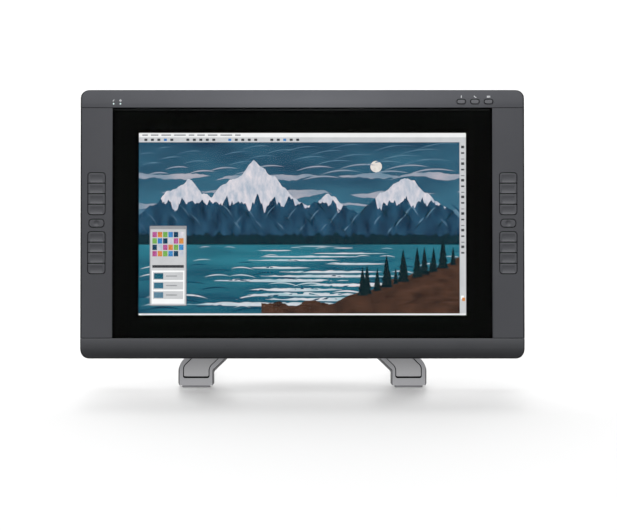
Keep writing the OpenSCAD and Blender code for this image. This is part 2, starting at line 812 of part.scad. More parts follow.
module chassis_plate() {
    color(steel) on_tablet() difference() {
        union() {
            inner_plate(chassis_z, frame_z);
            board_posts(main_x, main_v, main_w, main_h);
            board_posts(-supply_x, supply_v, supply_w, supply_h);
            translate([-power_x, power_v, 0])
                box(switch_w, switch_w, power_stem_foot + key_travel + stem_gap, chassis_z);
        }
        at_screws() cylinder(r = screw_r + screw_clear, h = case_d);
    }
}

module frame_rim(w, h, v) {
    translate([0, v, 0]) difference() {
        slab(w, h, 2 * small_r, frame_z, glass_z);
        slab(w - 2 * rim_t, h - 2 * rim_t, small_r, frame_z - over, glass_z + over);
    }
}

module mid_frame() {
    window_w = lcd_w + 2 * window_gap;
    window_h = lcd_h + 2 * window_gap;
    rail_top = key_board_top - board_t;
    color("#2a2b2e") on_tablet() difference() {
        union() {
            inner_plate(frame_z, frame_top);
            frame_rim(window_w + 2 * rim_t, window_h + 2 * rim_t, screen_v);
            frame_rim(glass_w - 2 * inside_gap, glass_h - 2 * inside_gap, (bottom_seam + top_seam) / 2);
            for (side = [-1, 1], rail = [-1, 1])
                translate([side * panel_x + rail * (key_board_w / 2 - rail_in), key_v, 0])
                    box(rail_t, key_board_h - 2 * rail_in, frame_z, rail_top);
            translate([(top_button_x + top_button_pitch - light_board_x) / 2, top_seam + top_button_rise, 0])
                box(top_button_x + light_board_x, top_board_h - 2 * rail_in, frame_z, rail_top);
        }
        translate([0, screen_v, 0]) box(window_w, window_h, 0, case_d);
        at_screws() cylinder(r = screw_r + fit, h = frame_top + over);
    }
}

module top_bar() {
    color(bar_grey) on_tablet() difference() {
        front_zone(-case_w / 2, case_w / 2, top_seam + seam / 2, case_h);
        for (i = [1:3]) at_top_button(i)
            slab(top_button_w + 2 * key_gap, top_button_h + 2 * key_gap,
                top_button_r + key_gap, split_z, case_d + over);
        at_lights() cylinder(r = light_r + fit, h = case_d + over);
    }
}

module bottom_bar() {
    color(bar_grey) on_tablet() front_zone(-case_w / 2, case_w / 2, 0, bottom_seam - seam / 2);
}

module side_panel(side) {
    color(case_grey) on_tablet() difference() {
        on_side(side)
            front_zone(glass_w / 2 + seam / 2, case_w / 2, bottom_seam + seam / 2, top_seam - seam / 2);
        at_groups(side) slab(group_w, group_h, group_r, split_z, case_d + over);
        translate([side * panel_x, key_v, 0])
            slab(menu_w + 2 * key_gap, menu_h + 2 * key_gap, menu_r + key_gap, split_z, case_d + over);
    }
}

module cover_glass() {
    color(glass_black) on_tablet() translate([0, (bottom_seam + top_seam) / 2, 0])
        slab(glass_w - seam, glass_h - seam, small_r, glass_z, glass_top);
}

module glass_gasket() {
    color(black) on_tablet() translate([0, screen_v, 0]) difference() {
        box(lcd_w, lcd_h, gasket_z, glass_z);
        box(screen_w + 2 * window_gap, screen_h + 2 * window_gap, gasket_z - over, glass_z + over);
    }
}

module lcd_panel() {
    color("#30566e") on_tablet() translate([0, screen_v, 0]) box(lcd_w, lcd_h, lcd_z, gasket_z);
}

module backlight_unit() {
    color("#d8d8d4") on_tablet() translate([0, screen_v, 0]) box(lcd_w, lcd_h, backlight_z, lcd_z);
}

module sensor_board() {
    color(board_green) on_tablet() translate([0, screen_v, 0]) box(lcd_w, lcd_h, sensor_z, backlight_z);
}

module shield_plate() {
    color(steel) on_tablet() translate([0, screen_v, 0]) box(lcd_w, lcd_h, frame_z, sensor_z);
}

// Electronics

// Board with parts on its rear face
module board(x, v, w, h, parts) {
    translate([x, v, 0]) {
        box(w, h, main_z, main_z + board_t);
        for (p = parts) translate([p[0], p[1], 0]) box(p[2], p[3], main_z - p[4], main_z);
    }
}

module main_board() {
    color(board_green) on_tablet() board(main_x, main_v, main_w, main_h, main_parts);
}

module power_board() {
    color(board_green) on_tablet() board(-supply_x, supply_v, supply_w, supply_h, supply_parts);
}

module rear_connectors() {
    color(steel) on_tablet() for (s = sockets) translate([s[0], socket_v, 0]) difference() {
        box(s[1], s[2], socket_out, main_z);
        box(s[3], s[4], socket_out - over, socket_out + socket_depth);
    }
}

module key_boards() {
    color(board_green) on_tablet() for (side = [-1, 1]) {
        translate([side * panel_x, key_v, 0]) {
            box(key_board_w, key_board_h, key_board_top - board_t, key_board_top);
            translate([0, 0, key_board_top]) cylinder(r = dome_r, h = dome_h);
        }
        for (i = [1:8]) at_key(side, i) translate([0, 0, key_board_top]) cylinder(r = dome_r, h = dome_h);
    }
}

module top_key_board() {
    board_w = top_button_x + light_board_x + 2 * top_button_pitch;
    color(board_green) on_tablet() {
        translate([board_w / 2 - light_board_x, top_seam + top_button_rise, 0])
            box(board_w, top_board_h, key_board_top - board_t, key_board_top);
        for (i = [1:3]) at_top_button(i) translate([0, 0, key_board_top]) cylinder(r = dome_r, h = dome_h);
    }
}

module light_pipes() {
    color("#bfe9f2") on_tablet() intersection() {
        at_lights() translate([0, 0, key_board_top]) cylinder(r = light_r, h = case_d);
        under_top_curve(light_proud);
    }
}

module touch_strips() {
    color(black) on_tablet() for (side = [-1, 1]) translate([side * strip_x, strip_v, 0])
        slab(strip_w, strip_h, strip_w / 2 - strip_gap, strip_sink, strip_t);
}

// Keys and buttons

// Height of the middle of a key's group
function group_v(i) = key_v + (i <= keys_per_group ? 1 : -1) * group_offset;

// Middle of a key: 1 to 8 from the top of a column
module at_key(side, i) {
    step = (keys_per_group - 1) / 2 - (i - 1) % keys_per_group;
    translate([side * panel_x, group_v(i) + step * (key_h + key_split), 0]) children();
}

// Flange under the panel and stem down to the switch
module key_foot(w, h, r, top) {
    slab(w, h, r, top - flange_t, top);
    translate([0, 0, stem_foot]) cylinder(r = stem_r, h = top - flange_t - stem_foot);
}

module key(side, i) {
    flange_top = case_d - wall - flange_gap;
    key_top = case_d + key_proud;
    color(key_grey) on_tablet() {
        difference() {
            intersection() {
                translate([side * panel_x, group_v(i), 0])
                    slab(group_w - 2 * key_gap, group_h - 2 * key_gap, group_r - key_gap,
                        flange_top, key_top);
                at_key(side, i) box(group_w, key_h, flange_top, key_top);
            }
            at_key(side, i) translate([0, -dish_drop, key_top - dish_depth + dish_r])
                rod_x(-group_w / 2 + dish_border, group_w / 2 - dish_border, dish_r);
        }
        at_key(side, i) key_foot(group_w + 2 * flange_lip, key_h, small_r, flange_top);
    }
}

module menu_button(side) {
    flange_top = case_d - wall - flange_gap;
    button_top = case_d + key_proud;
    ball_r = (pow(menu_dimple_r, 2) + pow(menu_dimple_depth, 2)) / (2 * menu_dimple_depth);
    color(key_grey) on_tablet() translate([side * panel_x, key_v, 0]) {
        difference() {
            slab(menu_w, menu_h, menu_r, flange_top, button_top);
            translate([0, 0, button_top + ball_r - menu_dimple_depth]) sphere(ball_r);
        }
        key_foot(menu_w + 2 * (key_gap + flange_lip), menu_h, menu_r, flange_top);
    }
}

module top_button(i) {
    curve_low = case_d - top_curve_r
        + sqrt(pow(top_curve_r - wall, 2) - pow(top_button_rise + top_button_h / 2 + flange_lip, 2));
    flange_top = curve_low - flange_gap;
    color(key_grey) on_tablet() {
        intersection() {
            at_top_button(i)
                slab(top_button_w, top_button_h, top_button_r, flange_top, case_d + over);
            under_top_curve(key_proud);
        }
        at_top_button(i)
            key_foot(top_button_w + 2 * (key_gap + flange_lip), top_button_h, 2 * small_r, flange_top);
    }
}

module power_button() {
    color(black) on_tablet() translate([-power_x, power_v, 0]) {
        translate([0, 0, -key_proud]) cylinder(r = power_r, h = wall + flange_gap + key_proud);
        translate([0, 0, wall + flange_gap]) cylinder(r = power_r + key_gap + flange_lip, h = flange_t);
        translate([0, 0, power_stem_foot - power_stem_h]) cylinder(r = stem_r, h = power_stem_h);
    }
}

pivot_tube();
tube_caps();
front_leg(-1);  // left_front_leg
front_leg(1);  // right_front_leg
rear_leg(-1);  // left_rear_leg
rear_leg(1);  // right_rear_leg
leg_inlay(-1);  // left_leg_inlay
leg_inlay(1);  // right_leg_inlay
rubber_feet();
grub_screws();
mount_bracket();
mount_screws();
friction_bushes();
lever_pin();
release_lever();
lever_spring();
rear_cover();
case_screws();
chassis_plate();
mid_frame();
top_bar();
bottom_bar();
side_panel(-1);  // left_side_panel
side_panel(1);  // right_side_panel
cover_glass();
glass_gasket();
lcd_panel();
backlight_unit();
sensor_board();
shield_plate();
main_board();
power_board();
key_boards();
top_key_board();
light_pipes();
touch_strips();
rear_connectors();
menu_button(-1);  // left_menu_button
menu_button(1);  // right_menu_button
power_button();
for (i = [1:3]) top_button(i);
for (i = [1:8]) key(-1, i);
for (i = [1:8]) key(1, i);
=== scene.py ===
"""Looks of a pen display: moulded shells, dished keys, a lit picture under glass and a painted stand."""

import json
import logging
import math
from dataclasses import dataclass, field
from enum import Enum, IntEnum
from typing import Callable, Iterator, Mapping, Optional, Sequence, TypeVar, Union

import bmesh
import bpy
from mathutils import Matrix, Vector, noise

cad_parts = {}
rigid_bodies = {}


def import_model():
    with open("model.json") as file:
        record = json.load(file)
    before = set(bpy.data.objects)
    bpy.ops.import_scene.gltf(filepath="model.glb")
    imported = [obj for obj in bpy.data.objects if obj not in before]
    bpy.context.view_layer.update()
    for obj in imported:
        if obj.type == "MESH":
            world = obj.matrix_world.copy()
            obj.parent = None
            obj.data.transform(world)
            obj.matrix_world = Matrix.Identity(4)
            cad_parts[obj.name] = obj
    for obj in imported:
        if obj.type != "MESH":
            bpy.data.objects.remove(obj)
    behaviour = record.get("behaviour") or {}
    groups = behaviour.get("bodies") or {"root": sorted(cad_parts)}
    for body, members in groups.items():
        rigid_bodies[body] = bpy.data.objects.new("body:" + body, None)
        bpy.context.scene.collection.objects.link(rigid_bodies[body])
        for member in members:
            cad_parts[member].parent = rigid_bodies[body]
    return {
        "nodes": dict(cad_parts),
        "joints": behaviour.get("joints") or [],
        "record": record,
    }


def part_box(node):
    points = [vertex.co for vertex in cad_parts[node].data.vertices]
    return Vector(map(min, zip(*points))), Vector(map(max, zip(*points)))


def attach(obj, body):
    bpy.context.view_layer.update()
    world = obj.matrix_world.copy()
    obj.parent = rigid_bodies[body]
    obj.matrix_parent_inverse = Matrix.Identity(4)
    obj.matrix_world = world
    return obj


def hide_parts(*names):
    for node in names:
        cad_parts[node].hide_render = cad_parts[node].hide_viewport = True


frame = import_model()

LOG = logging.getLogger("pen_display")
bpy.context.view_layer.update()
MM = 0.001
WELD_MM = 0.002
FLAT_DEG = 0.6
SHARP_DEG = 28.0
RECORD = frame["record"]
BODY_OF = {node: body for body, nodes in RECORD["behaviour"]["bodies"].items() for node in nodes}
SLOT_OF = {part["node"]: part["material_slot"] for part in RECORD["subparts"]}

Colour = tuple[float, float, float, float]
Key = Union[str, int]
# The left, lower, right and upper edge of a part of the screen, in millimetres on the tablet.
Box = tuple[float, float, float, float]
Option = TypeVar("Option")


class Side(Enum):
    """The two sides of the tablet, seen from the front, as a sign along x."""

    LEFT = -1
    RIGHT = 1


def linear(hex_colour: str) -> Colour:
    """Turns an sRGB hex colour into linear light.

    Args:
        hex_colour: Six hex digits after a hash sign.

    Returns:
        Linear red, green and blue, and an alpha of 1.
    """
    channels = [int(hex_colour[i:i + 2], 16) / 255 for i in (1, 3, 5)]
    red, green, blue = (c / 12.92 if c <= 0.04045 else ((c + 0.055) / 1.055) ** 2.4 for c in channels)
    return red, green, blue, 1.0


def per_metre(size_mm: float) -> float:
    """Returns a texture scale, in repeats per metre, for a feature of that size in millimetres."""
    return 1.0 / (size_mm * MM)


def smooth_step(value: float) -> float:
    """Returns a soft step from 0 to 1 as value goes from 0 to 1."""
    value = min(max(value, 0.0), 1.0)
    return value * value * (3.0 - 2.0 * value)


def add_node(tree: bpy.types.NodeTree, kind: str, settings: Optional[Mapping[Key, object]] = None,
             links: Optional[Mapping[Key, bpy.types.NodeSocket]] = None) -> bpy.types.Node:
    """Adds a shader node with its settings and links.

    Args:
        tree: The tree that takes the node.
        kind: Blender's name for the type of node.
        settings: Values for input sockets, by name or number, or for attributes of the node.
        links: Output sockets that feed the node's inputs, by name or number.

    Returns:
        The new node.
    """
    node = tree.nodes.new(kind)
    for key, value in (settings or {}).items():
        if isinstance(key, int) or key in node.inputs:
            node.inputs[key].default_value = value
        else:
            setattr(node, key, value)
    for key, socket in (links or {}).items():
        tree.links.new(socket, node.inputs[key])
    return node


@dataclass(frozen=True)
class TabletSpace:
    """Millimetres on the tablet: x right, y up the screen, z out of it, from the lower rear edge."""

    to_world: Matrix

    @classmethod
    def at_rest(cls) -> "TabletSpace":
        """Reads the tilt from a key's travel and the origin from the rear cover.

        Returns:
            The tablet's space at the rest pose.
        """
        press = next(j for j in frame["joints"] if j["name"] == "left_key_1_press")
        out = -Vector(press["axis"]).normalized()
        right = Vector((1.0, 0.0, 0.0))
        turn = Matrix((right, out.cross(right), out)).transposed().to_4x4()
        turned = [turn.transposed() @ v.co for v in frame["nodes"]["rear_cover"].data.vertices]
        corner = Vector((0.0, min(p.y for p in turned), min(p.z for p in turned)))
        return cls(Matrix.Translation(turn @ corner) @ turn @ Matrix.Scale(MM, 4))

    def box(self, node: str) -> tuple[Vector, Vector]:
        """Measures a node along the tablet's own axes.

        Args:
            node: Name of a node of the frame.

        Returns:
            Its lowest and highest corner in millimetres.
        """
        back = self.to_world.inverted()
        points = [back @ v.co for v in frame["nodes"][node].data.vertices]
        low = Vector([min(p[i] for p in points) for i in range(3)])
        high = Vector([max(p[i] for p in points) for i in range(3)])
        return low, high

    def coordinates(self, tree: bpy.types.NodeTree) -> bpy.types.NodeSocket:
        """Adds nodes that give a shading point in this space.

        Args:
            tree: The tree that takes the nodes.

        Returns:
            The socket with the point in millimetres.
        """
        place, turn, size = self.to_world.inverted().decompose()
        point = add_node(tree, "ShaderNodeTexCoord").outputs["Object"]
        mapping = add_node(tree, "ShaderNodeMapping",
                           {"Location": place, "Rotation": turn.to_euler(), "Scale": size}, {"Vector": point})
        return mapping.outputs["Vector"]


TABLET = TabletSpace.at_rest()
CASE_LOW, CASE_HIGH = TABLET.box("rear_cover")


@dataclass(frozen=True)
class Finish:
    """A surface that is made into one material on first use."""

    name: str

    def material(self) -> bpy.types.Material:
        """Makes the finish into a material, or finds the one that was made before.

        Returns:
            The material.
        """
        known = bpy.data.materials.get(self.name)
        if known:
            return known
        material = bpy.data.materials.new(self.name)
        material.use_nodes = True
        tree = material.node_tree
        tree.nodes.clear()
        add_node(tree, "ShaderNodeOutputMaterial", links={"Surface": self.surface(tree)})
        return material

    def surface(self, tree: bpy.types.NodeTree) -> bpy.types.NodeSocket:
        """Adds the nodes of the surface and returns its shader socket."""
        raise NotImplementedError


@dataclass(frozen=True)
class Mottled(Finish):
    """A surface of two close tones, whose gloss and relief go with its pattern."""

    colour: str
    shade: str
    roughness: float = 0.5
    gloss_spread: float = 0.06
    relief: float = 0.5
    relief_mm: float = 0.02

    def dressed(self, tree: bpy.types.NodeTree, share: bpy.types.NodeSocket, height: bpy.types.NodeSocket,
                settings: Mapping[Key, object]) -> bpy.types.NodeSocket:
        """Adds the shader over a pattern.

        Args:
            tree: The tree that takes the nodes.
            share: Gives the share of the second tone.
            height: Gives the pattern's height, for the gloss and the relief.
            settings: The shader's other values.

        Returns:
            The shader socket.
        """
        tint = add_node(tree, "ShaderNodeMix",
                        {"data_type": "RGBA", 6: linear(self.colour), 7: linear(self.shade)}, {0: share})
        gloss = add_node(tree, "ShaderNodeMapRange",
                         {"To Min": self.roughness - self.gloss_spread,
                          "To Max": self.roughness + self.gloss_spread}, {"Value": height})
        bump = add_node(tree, "ShaderNodeBump", {"Strength": self.relief, "Distance": self.relief_mm * MM},
                        {"Height": height})
        return add_node(tree, "ShaderNodeBsdfPrincipled", settings,
                        {"Base Color": tint.outputs[2], "Roughness": gloss.outputs["Result"],
                         "Normal": bump.outputs["Normal"]}).outputs["BSDF"]


@dataclass(frozen=True)
class MouldedPlastic(Mottled):
    """Injection-moulded ABS from an eroded tool: an even, satin skin with a fine grain.

    The real grain is about 0.1 mm. It is drawn coarser, so that it shows at all from a step away.
    """

    specular: float = 0.2
    ior: float = 1.54
    grain_mm: float = 1.1
    cloud_mm: float = 60.0
    blend: tuple[float, float] = (0.1, 0.42)

    def surface(self, tree: bpy.types.NodeTree) -> bpy.types.NodeSocket:
        """Adds grain, slow clouding of the colour and uneven gloss.

        Args:
            tree: The tree that takes the nodes.

        Returns:
            The shader socket.
        """
        place = add_node(tree, "ShaderNodeTexCoord").outputs["Object"]
        grain = add_node(tree, "ShaderNodeTexNoise", {"Scale": per_metre(self.grain_mm), "Detail": 2.0},
                         {"Vector": place}).outputs["Fac"]
        cloud = add_node(tree, "ShaderNodeTexNoise", {"Scale": per_metre(self.cloud_mm), "Detail": 3.0},
                         {"Vector": place}).outputs["Fac"]
        both = add_node(tree, "ShaderNodeMath", {"operation": "MULTIPLY"}, {0: grain, 1: cloud})
        share = add_node(tree, "ShaderNodeMapRange", {"From Min": self.blend[0], "From Max": self.blend[1]},
                         {"Value": both.outputs[0]})
        return self.dressed(tree, share.outputs["Result"], grain,
                            {"IOR": self.ior, "Specular IOR Level": self.specular})


@dataclass(frozen=True)
class PaintedAlloy(Mottled):
    """Die-cast alloy under silver paint: metal flakes in a matt lacquer, with a faint orange peel."""

    roughness: float = 0.48
    gloss_spread: float = 0.05
    relief: float = 0.3
    metallic: float = 0.35
    flake_mm: float = 0.9
    peel_mm: float = 3.0

    def surface(self, tree: bpy.types.NodeTree) -> bpy.types.NodeSocket:
        """Adds flakes in the colour and a soft waviness in the lacquer.

        Args:
            tree: The tree that takes the nodes.

        Returns:
            The shader socket.
        """
        place = add_node(tree, "ShaderNodeTexCoord").outputs["Object"]
        flake = add_node(tree, "ShaderNodeTexVoronoi", {"Scale": per_metre(self.flake_mm)},
                         {"Vector": place})
        peel = add_node(tree, "ShaderNodeTexNoise", {"Scale": per_metre(self.peel_mm), "Detail": 2.0},
                        {"Vector": place})
        return self.dressed(tree, flake.outputs["Distance"], peel.outputs["Fac"], {"Metallic": self.metallic})


@dataclass(frozen=True)
class BareMetal(Mottled):
    """Turned, ground or sintered metal: fine marks drawn out along one axis."""

    roughness: float = 0.34
    gloss_spread: float = 0.1
    relief: float = 0.4
    relief_mm: float = 0.01
    mark_mm: float = 0.8
    stretch: tuple[float, float, float] = (1.0, 1.0, 1.0)

    def surface(self, tree: bpy.types.NodeTree) -> bpy.types.NodeSocket:
        """Adds drawn-out marks in colour, gloss and relief.

        Args:
            tree: The tree that takes the nodes.

        Returns:
            The shader socket.
        """
        place = add_node(tree, "ShaderNodeTexCoord").outputs["Object"]
        mapped = add_node(tree, "ShaderNodeMapping", {"Scale": self.stretch}, {"Vector": place})
        marks = add_node(tree, "ShaderNodeTexNoise", {"Scale": per_metre(self.mark_mm), "Detail": 4.0},
                         {"Vector": mapped.outputs["Vector"]}).outputs["Fac"]
        return self.dressed(tree, marks, marks, {"Metallic": 1.0})


@dataclass(frozen=True)
class CircuitBoard(Finish):
    """Glass-fibre board under green solder mask: paler lines where copper tracks run below."""

    mask: str = "#1c5136"
    mask_shade: str = "#205a3c"
    track: str = "#3c7a52"
    pitch_mm: float = 2.4
    track_mm: float = 0.03

    def surface(self, tree: bpy.types.NodeTree) -> bpy.types.NodeSocket:
        """Adds tracks as the joints of a fine brick pattern.

        Args:
            tree: The tree that takes the nodes.

        Returns:
            The shader socket.
        """
        tracks = add_node(tree, "ShaderNodeTexBrick",
                          {"Color1": linear(self.mask), "Color2": linear(self.mask_shade),
                           "Mortar": linear(self.track), "Scale": 1.0 / self.pitch_mm, "Mortar Size": 0.12},
                          {"Vector": TABLET.coordinates(tree)})
        bump = add_node(tree, "ShaderNodeBump", {"Strength": 0.3, "Distance": self.track_mm * MM},
                        {"Height": tracks.outputs["Fac"]})
        return add_node(tree, "ShaderNodeBsdfPrincipled", {"Roughness": 0.35, "IOR": 1.5},
                        {"Base Color": tracks.outputs["Color"],
                         "Normal": bump.outputs["Normal"]}).outputs["BSDF"]


@dataclass(frozen=True)
class CoatedGlass(Finish):
    """Etched cover glass with an anti-glare coat: clear, and nearly free of reflections.

    Its index is lower than bare glass has, because the coat takes most of the reflection away.
    """

    tint: str = "#fdfefe"
    ior: float = 1.125
    etch_mm: float = 2.0
    most_roughness: float = 0.02

    def surface(self, tree: bpy.types.NodeTree) -> bpy.types.NodeSocket:
        """Adds a faint etch in the gloss.

        Args:
            tree: The tree that takes the nodes.

        Returns:
            The shader socket.
        """
        place = add_node(tree, "ShaderNodeTexCoord").outputs["Object"]
        etch = add_node(tree, "ShaderNodeTexNoise", {"Scale": per_metre(self.etch_mm), "Detail": 2.0},
                        {"Vector": place}).outputs["Fac"]
        gloss = add_node(tree, "ShaderNodeMapRange", {"To Max": self.most_roughness}, {"Value": etch})
        return add_node(tree, "ShaderNodeBsdfPrincipled",
                        {"Base Color": linear(self.tint), "Transmission Weight": 1.0, "IOR": self.ior},
                        {"Roughness": gloss.outputs["Result"]}).outputs["BSDF"]


@dataclass(frozen=True)
class LitTone(Finish):
    """A colour on the lit display: two tones mixed by drawn-out strokes and a rise up the screen.

    The panel gives its own light, so the tone is emitted at strength 1 over black.
    """

    low: str
    high: str
    stroke_mm: float = 14.0
    stretch: tuple[float, float] = (1.0, 1.0)
    slant_deg: float = 0.0
    strokes: float = 1.0
    contrast: float = 2.2
    rise: Optional[tuple[float, float]] = None

    def surface(self, tree: bpy.types.NodeTree) -> bpy.types.NodeSocket:
        """Adds strokes and the rise.

        Args:
            tree: The tree that takes the nodes.

        Returns:
            The shader socket.
        """
        point = TABLET.coordinates(tree)
        mapped = add_node(tree, "ShaderNodeMapping",
                          {"Rotation": (0.0, 0.0, math.radians(self.slant_deg)),
                           "Scale": (self.stretch[0], self.stretch[1], 1.0)}, {"Vector": point})
        strokes = add_node(tree, "ShaderNodeTexNoise", {"Scale": 1.0 / self.stroke_mm, "Detail": 5.0,
                                                        "Roughness": 0.6},
                           {"Vector": mapped.outputs["Vector"]}).outputs["Fac"]
        spread = 0.5 / self.contrast
        share = add_node(tree, "ShaderNodeMapRange",
                         {"From Min": 0.5 - spread, "From Max": 0.5 + spread, "To Max": self.strokes},
                         {"Value": strokes}).outputs["Result"]
        if self.rise:
            height = add_node(tree, "ShaderNodeSeparateXYZ", links={"Vector": point}).outputs["Y"]
            ramp = add_node(tree, "ShaderNodeMapRange",
                            {"From Min": self.rise[0], "From Max": self.rise[1]}, {"Value": height})
            share = add_node(tree, "ShaderNodeMath", {"operation": "MULTIPLY_ADD", 1: 1.0 - self.strokes,
                                                      "use_clamp": True},
                             {0: ramp.outputs["Result"], 2: share}).outputs[0]
        tint = add_node(tree, "ShaderNodeMix",
                        {"data_type": "RGBA", 6: linear(self.low), 7: linear(self.high)}, {0: share})
        return add_node(tree, "ShaderNodeBsdfPrincipled",
                        {"Base Color": linear("#000000"), "Specular IOR Level": 0.0, "Roughness": 0.6,
                         "Emission Strength": 1.0},
                        {"Emission Color": tint.outputs[2]}).outputs["BSDF"]


@dataclass(frozen=True)
class PaleFloor(Finish):
    """A sweep of white paper: matt, with a sheen under the object that fades out in front of the feet.

    Light that bounces off it is dimmer than the paper looks to the camera.
    """

    tone: str = "#bcbcbc"
    bounce: str = "#606060"
    glow: float = 0.19
    sheen_reach: float = 0.19

    def surface(self, tree: bpy.types.NodeTree) -> bpy.types.NodeSocket:
        """Adds the matt paper, its sheen and the dimmer bounce.

        Args:
            tree: The tree that takes the nodes.

        Returns:
            The shader socket.
        """
        matt = add_node(tree, "ShaderNodeBsdfPrincipled",
                        {"Base Color": linear(self.tone), "Roughness": 0.8, "Specular IOR Level": 0.0,
                         "Emission Color": linear("#ffffff"), "Emission Strength": self.glow})
        sheen = add_node(tree, "ShaderNodeBsdfPrincipled",
                         {"Base Color": linear(self.tone), "Roughness": 0.3, "Specular IOR Level": 0.3})
        place = add_node(tree, "ShaderNodeSeparateXYZ",
                         links={"Vector": add_node(tree, "ShaderNodeTexCoord").outputs["Object"]})
        toe_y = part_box("left_front_leg")[0].y
        near = add_node(tree, "ShaderNodeMapRange", {"From Min": toe_y - self.sheen_reach, "From Max": toe_y},
                        {"Value": place.outputs["Y"]})
        shown = add_node(tree, "ShaderNodeMixShader", links={
            0: near.outputs["Result"], 1: matt.outputs["BSDF"], 2: sheen.outputs["BSDF"]})
        bounce = add_node(tree, "ShaderNodeBsdfDiffuse", {"Color": linear(self.bounce)})
        rays = add_node(tree, "ShaderNodeLightPath")
        seen = add_node(tree, "ShaderNodeMath", {"operation": "MAXIMUM"},
                        {0: rays.outputs["Is Camera Ray"], 1: rays.outputs["Is Glossy Ray"]})
        mixed = add_node(tree, "ShaderNodeMixShader", links={
            0: seen.outputs[0], 1: bounce.outputs["BSDF"], 2: shown.outputs["Shader"]})
        return mixed.outputs["Shader"]


CASE_ABS = MouldedPlastic("moulded_abs_case", "#46474b", "#414246")
BAR_ABS = MouldedPlastic("moulded_abs_bar", "#48494d", "#434448", roughness=0.55, specular=0.12)
# Painted light: the bar's plastic made lighter for the bottom bar, to make up for the shade on its downward
# curve.
LOWER_BAR_ABS_PAINTED_LIGHT = MouldedPlastic("moulded_abs_lower_bar", "#57585b", "#525356", roughness=0.55, specular=0.12)
KEY_ABS = MouldedPlastic("moulded_abs_key", "#4d4e52", "#48494d", roughness=0.45)
BLACK_PLASTIC = MouldedPlastic("moulded_black_plastic", "#26272a", "#1f2022", roughness=0.5)
WHITE_PLASTIC = MouldedPlastic("moulded_white_plastic", "#dcdcd8", "#d2d2ce", roughness=0.4)
GLOSS_BLACK = MouldedPlastic("polished_black_plastic", "#141518", "#101113", roughness=0.14, specular=0.5,
                             relief_mm=0.002)
# Painted shade: the case plastic made dark on the rounded rim along the case's outline, where the rounding
# turns away from the light.
SHADED_RIM_ABS = MouldedPlastic("moulded_abs_rim", "#1d1e20", "#18191b", roughness=0.6, specular=0.1)
RUBBER = MouldedPlastic("moulded_rubber", "#8c8c8f", "#828285", roughness=0.82, specular=0.1,
                        relief_mm=0.05)
FOAM = MouldedPlastic("foam_gasket", "#17181a", "#101112", roughness=0.95, specular=0.1, relief_mm=0.2)
BORDER_PRINT = MouldedPlastic("screen_printed_border", "#000000", "#000000", roughness=0.7, specular=0.0,
                              relief_mm=0.0)
MARK_PRINT = MouldedPlastic("pad_printed_marks", "#d8dadc", "#c4c6c8", roughness=0.6, specular=0.2)
# Painted highlight: a grey line on the front of the glass that stands in for its upper edge catching the
# light.
GLASS_EDGE_HIGHLIGHT = MouldedPlastic("screen_printed_line", "#1e1f20", "#1a1b1c", roughness=0.6, specular=0.1,
                            relief_mm=0.0)
# Painted shade: near black in the groove around the inlay, where shade falls.
GROOVE_SHADE = MouldedPlastic("black_groove_coat", "#0c0d0e", "#090a0a", roughness=0.9, specular=0.0)
# Painted shade: the leg's paint made dark on its drafted sides, which face away from the light.
LEG_SIDE_SHADE = PaintedAlloy("dark_painted_leg_side", "#4c4c4f", "#464649", metallic=0.1)
LEG_PAINT = PaintedAlloy("painted_cast_leg", "#aaaaad", "#a2a2a5", metallic=0.15)
INLAY_PAINT = PaintedAlloy("painted_inlay", "#b0b0b2", "#a8a8aa", metallic=0.15)
BRACKET_CAST = PaintedAlloy("powder_coated_casting", "#6d6f73", "#5f6165", metallic=0.2, roughness=0.6,
                            peel_mm=1.5)
SHEET_ALLOY = BareMetal("rolled_sheet_alloy", "#b8bbbf", "#a4a7ab", stretch=(0.05, 1.0, 1.0))
GROUND_STEEL = BareMetal("ground_steel", "#a9abb0", "#8d8f94", roughness=0.3, stretch=(1.0, 0.08, 0.08))
BLACK_STEEL = BareMetal("blackened_screw_steel", "#3a3b3f", "#2c2d30", roughness=0.42)
BRONZE = BareMetal("sintered_bronze", "#9a7b45", "#7d6236", roughness=0.45, relief_mm=0.04)
BOARD = CircuitBoard("solder_mask_board")
GLASS = CoatedGlass("coated_cover_glass")
DARK_PANEL = LitTone("unlit_panel_edge", "#020203", "#040405")
LED_GLOW = LitTone("lit_light_pipe", "#d8f6f2", "#f2ffff", stroke_mm=1.0)
SWEEP_PAPER = PaleFloor("pale_floor")

FINISH_OF_SLOT: Mapping[str, Finish] = {
    "case": CASE_ABS, "bar": BAR_ABS, "key": KEY_ABS, "black_plastic": BLACK_PLASTIC,
    "white_plastic": WHITE_PLASTIC, "gloss_black": GLOSS_BLACK, "light_pipe": LED_GLOW, "cover_glass": GLASS,
    "display": DARK_PANEL, "board": BOARD, "rubber": RUBBER, "leg": LEG_PAINT, "leg_inlay": INLAY_PAINT,
    "cast_alloy": BRACKET_CAST, "sheet_alloy": SHEET_ALLOY, "steel": GROUND_STEEL, "bronze": BRONZE,
}
FINISH_OF_NODE: Mapping[str, Finish] = {
    "bottom_bar": LOWER_BAR_ABS_PAINTED_LIGHT, "glass_gasket": FOAM, "mount_screws": BLACK_STEEL,
    "case_screws": BLACK_STEEL, "grub_screws": BLACK_STEEL,
}


def finish_of(node: str) -> Finish:
    """Returns a node's own finish, or the finish of its slot."""
    return FINISH_OF_NODE.get(node, FINISH_OF_SLOT[SLOT_OF[node]])


